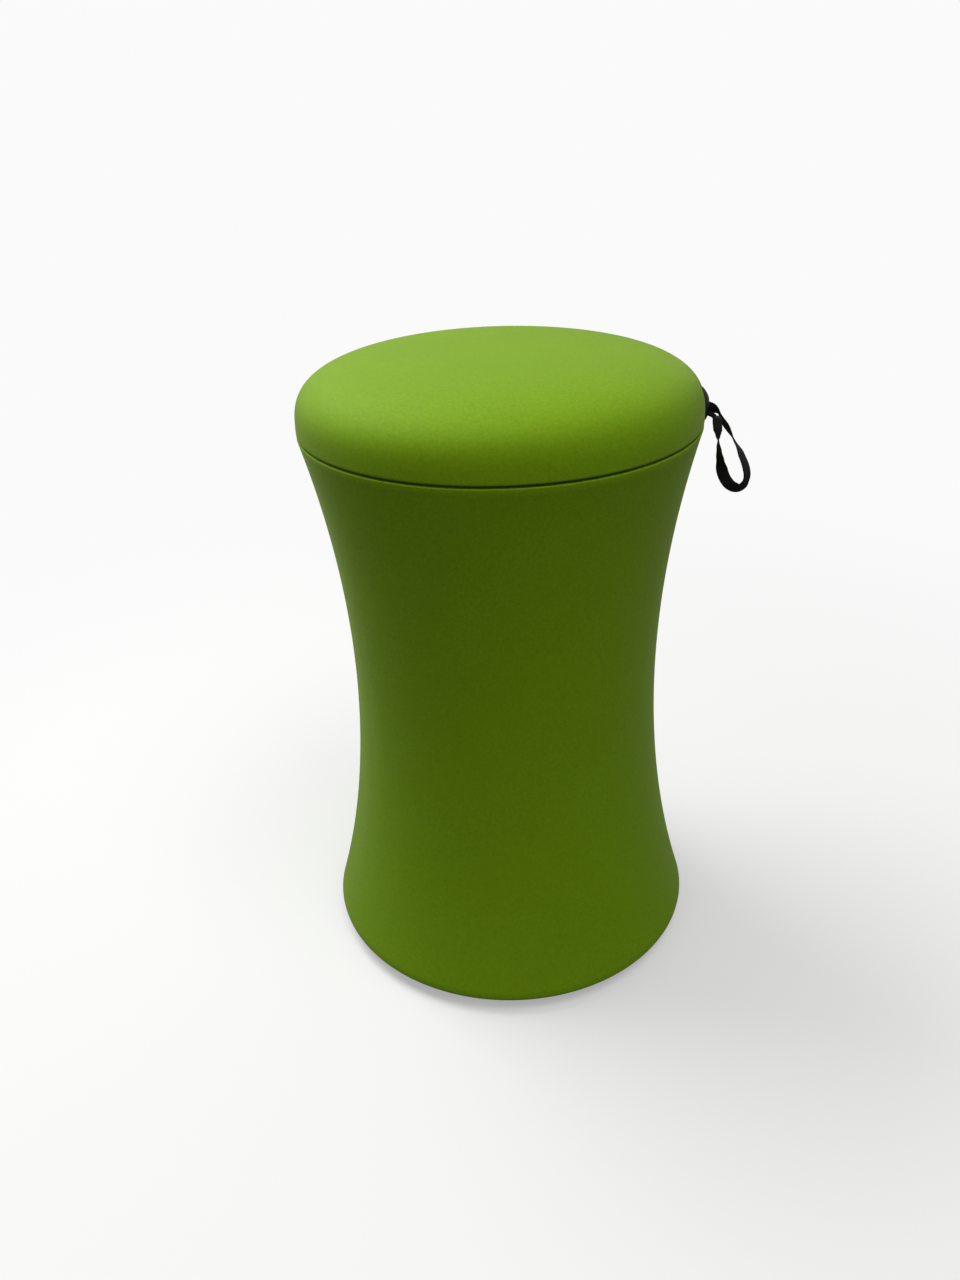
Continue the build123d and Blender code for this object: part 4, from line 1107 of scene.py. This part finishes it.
@dataclass
class Hardware:
    """The CAD pieces that keep their shape: each gets the finish that the real one has."""

    finishes: dict[str, SolidFinish] = field(
        default_factory=lambda: {
            "guide_black": GUIDE_ABS,
            # filled polypropylene, never polished: greyer where it catches the light
            "moulded_black": SolidFinish("moulded_black_polypropylene", "#222224", "#161618", 0.6, ior=1.49),
            # natural rubber compound: almost no gloss
            "foot_rubber": SolidFinish(
                "vulcanised_rubber", "#1a1a1a", "#101010", 0.88, ior=1.52, grit=1.5 * MM, relief=0.15 * MM
            ),
            "seal_rubber": SolidFinish("nitrile_seal", "#141414", "#0c0c0c", 0.6, ior=1.52),
            # acetal: milky white and slightly waxy
            "acetal": SolidFinish("turned_acetal", "#e4e2da", "#d6d3c8", 0.35, ior=1.48, grain=Grain.SMOOTH),
            # polyurethane foam: open cells, cream, quite dull
            "foam": SolidFinish(
                "cut_polyurethane_foam", "#ddd2b0", "#c8bb94", 0.95, grit=1.2 * MM, relief=0.5 * MM
            ),
            # powder coat over steel: black, with a little orange peel
            "steel_black": SolidFinish("powder_coated_steel", "#1e1e20", "#161617", 0.4, coat=0.2),
            "steel_bright": SolidFinish(
                "zinc_plated_steel", "#b9bcc0", "#9da1a6", 0.32, metallic=1.0, grain=Grain.BRUSHED
            ),
            "chromed_rod": SolidFinish(
                "hard_chromed_steel", "#c9cbce", "#b8babd", 0.12, metallic=1.0, grain=Grain.SMOOTH
            ),
            "aluminium": SolidFinish(
                "extruded_aluminium", "#c2c4c6", "#abadb0", 0.38, metallic=1.0, grain=Grain.BRUSHED
            ),
            "brass": SolidFinish(
                "turned_brass", "#c8a24e", "#a98235", 0.28, metallic=1.0, grain=Grain.BRUSHED
            ),
            # braided polyester drawcord
            "hem_cord": SolidFinish("braided_polyester_cord", "#1c1c1e", "#0f0f10", 0.8, relief=0.2 * MM),
            "webbing": SolidFinish("folded_nylon_webbing", "#141416", "#0b0b0c", 0.6, relief=0.15 * MM),
        }
    )

    def build(self) -> int:
        """Dresses every CAD node that is still shown.

        Returns:
            How many nodes were dressed.
        """
        made: dict[str, Material] = {}
        dressed = 0
        for entry in frame["record"]["subparts"]:
            node = frame["nodes"][entry["node"]]
            slot = entry["material_slot"]
            if node.hide_render or slot not in self.finishes:
                continue
            if slot not in made:
                made[slot] = self.finishes[slot].build()
            node.data.materials.clear()
            node.data.materials.append(made[slot])
            dressed += 1
        return dressed


@dataclass
class Studio:
    """Pale floor, soft overhead light and the camera."""

    floor_reach: float = 6.0
    paper: str = "#f6f6f4"
    paper_bounce: str = "#505050"  # what the other surfaces see of the floor
    room: str = "#fafafa"
    room_glow: float = 0.38
    fade: tuple[float, float] = (0.1, 1.3)  # distances over which the paper turns white
    fade_start: float = 0.35  # share of white under the stool
    camera_place: Point = (0.1292, -0.8694, 0.7804)
    camera_heading: float = math.radians(10.0)  # to the left of +Y
    camera_pitch: float = math.radians(28.42)
    camera_roll: float = math.radians(2.15)  # clockwise
    lens: float = 28.97

    def floor(self) -> Piece:
        """Makes the floor: a pale, even sheet of paper, which throws little light back up.

        Returns:
            The floor.
        """
        reach = self.floor_reach
        corners = [(-reach, -reach, 0), (reach, -reach, 0), (reach, reach, 0), (-reach, reach, 0)]
        mesh = bpy.data.meshes.new("floor")
        mesh.from_pydata(corners, [], [(0, 1, 2, 3)])
        floor = link_object("floor", mesh)
        material, tree, output = fresh_material("pale_floor_paper")
        seen = add_node(tree, "ShaderNodeLightPath").outputs["Is Camera Ray"]
        tone = colour_between(tree, seen, self.paper_bounce, self.paper)
        paper = add_node(tree, "ShaderNodeBsdfPrincipled", None, Base_Color=tone, Roughness=0.9)
        # away from the stool the paper runs into the white of the room
        place = add_node(tree, "ShaderNodeTexCoord").outputs["Object"]
        away = add_node(tree, "ShaderNodeVectorMath", {"operation": "LENGTH"}, i0=place)
        fade = add_node(
            tree, "ShaderNodeMapRange", {"interpolation_type": "SMOOTHSTEP"},
            Value=away.outputs["Value"], From_Min=self.fade[0], From_Max=self.fade[1],
            To_Min=self.fade_start, To_Max=1.0,
        )
        share = calc(tree, "MULTIPLY", fade.outputs[0], seen)
        white = add_node(tree, "ShaderNodeEmission", None, Color=srgb(self.room), Strength=1.0)
        blend = add_node(
            tree, "ShaderNodeMixShader", None, i0=share, i1=paper.outputs[0], i2=white.outputs[0]
        )
        tree.links.new(blend.outputs[0], output.inputs["Surface"])
        mesh.materials.append(material)
        return floor

    def light(self, name: str, place: Point, aim: Point, size: float, power: float) -> None:
        """Adds a square soft light.

        Args:
            name: The light's name.
            place: Where it hangs.
            aim: What it points at.
            size: Its side.
            power: Its power in watts.
        """
        data = bpy.data.lights.new(name, "AREA")
        data.size = size
        data.energy = power
        lamp = bpy.data.objects.new(name, data)
        lamp.location = place
        lamp.rotation_euler = (Vector(aim) - Vector(place)).to_track_quat("-Z", "Y").to_euler()
        bpy.context.scene.collection.objects.link(lamp)

    def camera(self) -> None:
        """Adds the camera and makes it the scene's."""
        data = bpy.data.cameras.new("camera")
        data.lens = self.lens
        data.sensor_width = 36.0
        data.clip_end = 50.0
        camera = bpy.data.objects.new("camera", data)
        turn = Matrix.Rotation(self.camera_heading, 4, "Z")
        tilt = Matrix.Rotation(math.pi / 2 - self.camera_pitch, 4, "X")
        roll = Matrix.Rotation(-self.camera_roll, 4, "Z")
        camera.matrix_world = Matrix.Translation(self.camera_place) @ turn @ tilt @ roll
        bpy.context.scene.collection.objects.link(camera)
        bpy.context.scene.camera = camera

    def surroundings(self) -> None:
        """Makes the room: white where the camera sees it, and dim as a source of light."""
        world = bpy.data.worlds.new("studio")
        world.use_nodes = True
        tree = world.node_tree
        tree.nodes.clear()
        path = add_node(tree, "ShaderNodeLightPath")
        level = add_node(
            tree, "ShaderNodeMapRange", None,
            Value=path.outputs["Is Camera Ray"], To_Min=self.room_glow, To_Max=1.0,
        )
        room = add_node(
            tree, "ShaderNodeBackground", None, Color=srgb(self.room), Strength=level.outputs[0]
        )
        out = add_node(tree, "ShaderNodeOutputWorld")
        tree.links.new(room.outputs[0], out.inputs["Surface"])
        bpy.context.scene.world = world

    def build(self) -> None:
        """Sets up floor, lights, surroundings and camera."""
        self.floor()
        self.light("overhead", place=(-1.25, 0.5, 2.15), aim=(0, 0, 0.5), size=1.4, power=40.0)
        self.light(
            "front_overhead", place=(0.75, -0.8, 2.7), aim=(0, 0, 0.2), size=1.2, power=18.6
        )
        self.surroundings()
        bpy.context.scene.view_settings.view_transform = "Standard"
        self.camera()


def main() -> None:
    """Builds every sub-assembly in order and reports it."""
    logging.basicConfig(level=logging.INFO, format="%(name)s: %(message)s")
    Studio().build()
    LOG.info("studio is up")
    for piece in [*StrapPull().build(), StrapGuide().build()]:
        LOG.info("%s has %d faces", piece.name, len(piece.data.polygons))
    pad = SeatPad().build()
    LOG.info("%s has %d faces", pad.name, len(pad.data.polygons))
    sleeve = Sleeve().build()
    LOG.info("%s has %d faces", sleeve.name, len(sleeve.data.polygons))
    LOG.info("%d frame nodes dressed", Hardware().build())


if __name__ == "__main__":
    main()
